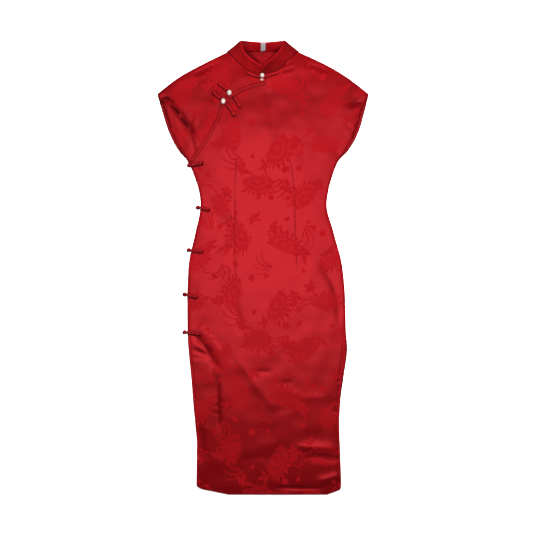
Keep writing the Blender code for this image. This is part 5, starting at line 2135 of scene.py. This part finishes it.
# Each side frog: its knot, its bar's end and the bar's half width
SIDE_FROGS = (
    ((-0.1990, 0.2755), (-0.1665, 0.2815), 0.0045),
    ((-0.1755, 0.1620), (-0.1470, 0.1560), 0.0032),
    ((-0.2000, 0.0470), (-0.1655, 0.0430), 0.0034),
    ((-0.2115, -0.0725), (-0.1805, -0.0795), 0.0038),
    ((-0.2115, -0.1745), (-0.1735, -0.1800), 0.0038),
)


def side_bars() -> list[Arm]:
    """The side frogs' bars, each from its knot's edge to its end and a little bowed.

    Returns:
        The bars, from the highest to the lowest.
    """
    bars = []
    for number, (knot, end, half_width) in enumerate(SIDE_FROGS, 1):
        start, stop = np.array(knot), np.array(end)
        way = (stop - start) / np.linalg.norm(stop - start)
        near = start + way * (KNOT_RADIUS + SEAM_GAP)
        middle = (near + stop) / 2 + np.array([-way[1], way[0]]) * 0.0008
        bars.append(Arm(f"side_frog_{number}_bar", (near, middle, stop), 1.35, half_width, 0.35))
    return bars


PEARLS = ("collar_pearl", "collar_pearl_lower", "chest_frog_a_pearl", "chest_frog_b_pearl")


@dataclass
class Frogs:
    """The corded frogs, their knots and their pearls."""

    form: Form
    dressing: Dressing
    strand_share: float = 0.60
    knot_strand: float = 0.0019
    knot_weave: float = 0.0003
    # Painted shade over the whole knot
    knot_depth: float = 0.4
    # Share of the painted red reflection on the lower collar pearl
    red_reflection_share: float = 0.8
    cord_sides: int = 12
    # The way towards the light: cord skin that turns away from it gets painted shade
    lit_way: tuple[float, float, float] = (0.12, 0.50, 0.86)

    def hairpin(self, arm: Arm) -> tuple[Array, Array]:
        """Doubles a cord: out along one side of the path, round its end and back.

        The strands run at path ± h · normal, where h grows to swell times its start, and meet
        in a half circle past the end. Each point lies on the highest cloth below it.

        Args:
            arm: The arm.

        Returns:
            The centre line of the doubled strand, and its radii.
        """
        path = np.array(arm.path)
        keys = lengths_along(path)
        at = np.linspace(0, keys[-1] - arm.half_width * arm.swell * 0.6, 26)
        line = np.stack([smooth(keys, path[:, 0], at), smooth(keys, path[:, 1], at)], axis=1)
        run = ways_along(line)
        side = np.stack([-run[:, 1], run[:, 0]], axis=1)
        grow = 1 + (arm.swell - 1) * ease(2 * at / keys[-1] - 1)
        half = arm.half_width * (1 - self.strand_share) * grow
        turns = np.linspace(0.5, -0.5, 9)[1:-1, None] * math.pi
        bend = line[-1] + half[-1] * (np.cos(turns) * run[-1] + np.sin(turns) * side[-1])
        beside = side * half[:, None]
        plan = np.concatenate([line + beside, bend, (line - beside)[::-1]])
        widths = np.concatenate([grow, np.full(len(bend), grow[-1]), grow[::-1]])
        radii = arm.half_width * self.strand_share * widths
        height = self.form.top(plan[:, 0], plan[:, 1], arm.half_width * self.strand_share)
        soft = np.convolve(np.pad(height, 3, mode="edge"), np.ones(7) / 7, mode="valid")
        z = np.maximum(soft, height) + SEAM_GAP + radii
        return np.column_stack([plan, z]), radii

    def arm(self, arm: Arm) -> Piece:
        """One doubled cord as a tube.

        Args:
            arm: The arm of a frog, or a side frog's bar.

        Returns:
            The cord.
        """
        line, radii = self.hairpin(arm)
        points, faces, place, out = tube(line, radii, self.cord_sides)
        cord = self.dressing.materials[Slot.CORD]
        # Painted shade on the sides that turn from the light; the arm's shade value darkens its whole
        # cord evenly
        mark = self.painted_underside_shade(out) * (1 - arm.shade) + arm.shade
        made = add_piece(arm.name + "_cord", points, faces, place, mark, cord)
        return self.dressing.dress(made, Slot.CORD, arm.name)

    def painted_underside_shade(self, out: Array) -> Array:
        """Painted shade on a cord's skin: more the more it turns away from the light above it and from
        the collar's side.
        """
        return np.clip(1.0 - 1.25 * out @ np.array(self.lit_way), 0, 1)

    def knot(self, number: int) -> Piece:
        """A button knot: one strand that winds over a ball.

        The strand is at longitude t and latitude 1.25 · sin(4t/3), over three turns, and its
        distance from the middle swings by a strand as it passes over and under itself.

        Args:
            number: The frog's number.

        Returns:
            The knot.
        """
        name = f"side_frog_{number}_knot"
        low, high = (np.array(v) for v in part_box(name))
        centre = (low + high) / 2
        centre[2] = max(centre[2], KNOT_RADIUS)
        t = np.linspace(0, 3 * TURN, 150)
        lat = 1.25 * np.sin(4 * t / 3)
        reach = KNOT_RADIUS - self.knot_strand + self.knot_weave * np.cos(8 * t / 3)
        level = reach * np.cos(lat)
        turned = t + number
        line = np.stack([level * np.cos(turned), reach * np.sin(lat), level * np.sin(turned)], axis=1)
        strand, faces, place, _ = tube(line, np.full(len(line), self.knot_strand), 8)
        inside = np.full(3, KNOT_RADIUS - 1.1 * self.knot_strand)
        core, core_faces, core_place = self.ball(inside, 16, 10)
        points = np.concatenate([strand, core]) + centre
        both = [np.concatenate([a, b + len(strand)]) for a, b in zip(faces, core_faces)]
        places = np.concatenate([place, core_place])
        cord = self.dressing.materials[Slot.CORD]
        # Painted shade: an even darkening of the whole knot, deeper on the sides that turn from the light
        painted_underside_shade = self.painted_underside_shade((points - centre) / KNOT_RADIUS)
        mark = self.knot_depth + (1 - self.knot_depth) * painted_underside_shade
        made = add_piece(name + "_cord", points, both, places, mark, cord)
        return self.dressing.dress(made, Slot.CORD, name)

    def ball(self, halves: Array, sides: int, rings: int) -> tuple[Array, list[Array], Array]:
        """A ball of half sizes: halves · (sin b cos a, sin b sin a, cos b), with closed poles.

        Args:
            halves: Its three half sizes.
            sides: Meridians.
            rings: Circles between the poles.

        Returns:
            The points, the faces and each point's place.
        """
        a = np.arange(sides) * TURN / sides
        b = np.linspace(0, np.pi, rings + 2)[1:-1, None]
        parts = np.broadcast_arrays(np.sin(b) * np.cos(a), np.sin(b) * np.sin(a), np.cos(b))
        unit = np.stack(parts, axis=-1)
        points = np.concatenate([unit.reshape(-1, 3), [[0, 0, 1], [0, 0, -1]]]) * halves
        index = np.arange(rings * sides).reshape(rings, sides)
        index = np.concatenate([index, index[:, :1]], axis=1)
        top, low = np.full(sides, rings * sides), np.full(sides, rings * sides + 1)
        above = np.stack([top, index[0, :-1], index[0, 1:]], axis=1)
        below = np.stack([low, index[-1, 1:], index[-1, :-1]], axis=1)
        quads = np.stack([index[:-1, :-1], index[1:, :-1], index[1:, 1:], index[:-1, 1:]], axis=-1)
        return points, [quads.reshape(-1, 4), np.concatenate([above, below])], points

    def pearl(self, name: str) -> Piece:
        """One pearl, in its solid's box.

        Args:
            name: The pearl's solid.

        Returns:
            The pearl.
        """
        low, high = (np.array(v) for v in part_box(name))
        points, faces, place = self.ball((high - low) / 2, 40, 26)
        pearl = self.dressing.materials[Slot.PEARL]
        centre = (low + high) / 2
        # Painted red reflection on the lower collar pearl only
        painted_red_reflection = np.full(len(points), self.red_reflection_share if name.endswith("lower") else 0.0)
        made = add_piece(name + "_bead", points + centre, faces, place, painted_red_reflection, pearl)
        return self.dressing.dress(made, Slot.PEARL, name)

    def build(self) -> None:
        """Makes every frog."""
        for arm in (*FROG_ARMS, *side_bars()):
            self.arm(arm)
        for number in range(1, len(SIDE_FROGS) + 1):
            self.knot(number)
        for name in PEARLS:
            self.pearl(name)


@dataclass(frozen=True)
class Cut:
    """How one sheet of cloth was cut: its flat width, length and area, and how it is held."""

    width: float
    length: float
    area: float
    held: str
    rests_on: tuple[str, ...] = ()
    sewn_on: tuple[str, ...] = ()


@dataclass(frozen=True)
class Lamp:
    """A soft area light: where it is, its width and length, its power and what it faces.

    shines says whether it is seen in the gloss.
    """

    name: str
    place: tuple[float, float, float]
    size: tuple[float, float]
    watts: float
    aim: tuple[float, float, float]
    shines: bool


LAMPS = (
    Lamp("overhead_panel", (0.0, 0.12, 0.95), (0.86, 0.92), 24, (0.0, 0.12, 0.0), True),
    Lamp("key_panel", (0.8, 2.6, 2.0), (0.9, 0.9), 306, (0.0, 0.1, 0.0), False),
)


@dataclass
class Studio:
    """The pale floor, the soft lights and the camera over the dress."""

    view_x: float = 0.0096
    view_y: float = 0.0027
    view_height: float = 5.0
    view_width: float = 1.439
    cloth_level: float = 0.006
    sensor: float = 36.0
    floor_half: float = 6.0
    floor_level: float = -0.0004
    room_light: float = 0.9
    room_in_gloss: float = 0.2

    def floor(self) -> None:
        """A wide floor just under the dress: pale to the camera, dim in the light it throws back."""
        mesh = bpy.data.meshes.new("floor")
        corners = ((-1, -1), (1, -1), (1, 1), (-1, 1))
        half = self.floor_half
        points = [(half * x, half * y, self.floor_level) for x, y in corners]
        mesh.from_pydata(points, [], [(0, 1, 2, 3)])
        made = bpy.data.objects.new("floor", mesh)
        bpy.context.scene.collection.objects.link(made)
        finish, g, shader = start_material("pale_floor")
        speck = g.noise(g.node("TexCoord").outputs["Object"], 60, 3)
        pale = g.blend(speck, (0.93, 0.93, 0.93, 1), (0.95, 0.95, 0.95, 1))
        seen = g.node("LightPath").outputs["Is Camera Ray"]
        tone = g.blend(seen, (0.12, 0.12, 0.12, 1), pale)
        g.fill(shader, {"Base Color": tone, "Roughness": 0.9, "Specular IOR Level": 0.1})
        mesh.materials.append(finish)

    def light(self, lamp: Lamp) -> None:
        """Adds one lamp, which the camera doesn't see.

        Args:
            lamp: The lamp.
        """
        data = bpy.data.lights.new(lamp.name, "AREA")
        data.shape = "RECTANGLE"
        data.size, data.size_y = lamp.size
        data.energy = lamp.watts
        made = bpy.data.objects.new(lamp.name, data)
        bpy.context.scene.collection.objects.link(made)
        made.location = lamp.place
        away = made.location - type(made.location)(lamp.aim)
        made.rotation_euler = away.to_track_quat("Z", "Y").to_euler()
        made.visible_camera = False
        made.visible_glossy = lamp.shines

    def build(self) -> None:
        """Makes the stage."""
        scene = bpy.context.scene
        self.floor()
        for lamp in LAMPS:
            self.light(lamp)
        world = bpy.data.worlds.new("pale_room")
        world.use_nodes = True
        room = Graph(world.node_tree)
        back = world.node_tree.nodes["Background"]
        back.inputs["Color"].default_value = (1, 1, 1, 1)
        mirrored = room.node("LightPath").outputs["Is Glossy Ray"]
        strength = room.between(mirrored, self.room_light, self.room_in_gloss)
        room.feed(back.inputs["Strength"], strength)
        scene.world = world
        data = bpy.data.cameras.new("camera")
        data.sensor_width = self.sensor
        data.lens = self.sensor * (self.view_height - self.cloth_level) / self.view_width
        camera = bpy.data.objects.new("camera", data)
        camera.location = (self.view_x, self.view_y, self.view_height)
        scene.collection.objects.link(camera)
        scene.camera = camera
        scene.view_settings.view_transform = "Standard"
        scene.view_settings.look = "None"


def main() -> None:
    """Builds the studio and every piece of the dress, in order."""
    logging.basicConfig(level=logging.INFO, format="%(message)s")
    weave = Weave()
    groups = {"woven_repeat": weave.layout_group(), "satin_threads": weave.thread_group()}
    materials = {
        Slot.SATIN: DRESS_SATIN.material(groups),
        Slot.PIPING: PIPING_SATIN.material(groups),
        Slot.CORD: CORD_SATIN.material(groups),
        Slot.PEARL: PEARL_WHITE.material(),
        Slot.RIBBON: RIBBON_GREY.material(),
    }
    form = Form()
    dressing = Dressing(materials)
    Studio().build()
    Body(form, dressing).build()
    Trims(form, dressing).build()
    CollarBand(form, dressing).build(groups)
    Frogs(form, dressing).build()
    LOG.info("%d pieces in all", len(dressing.made))


if __name__ == "__main__":
    main()
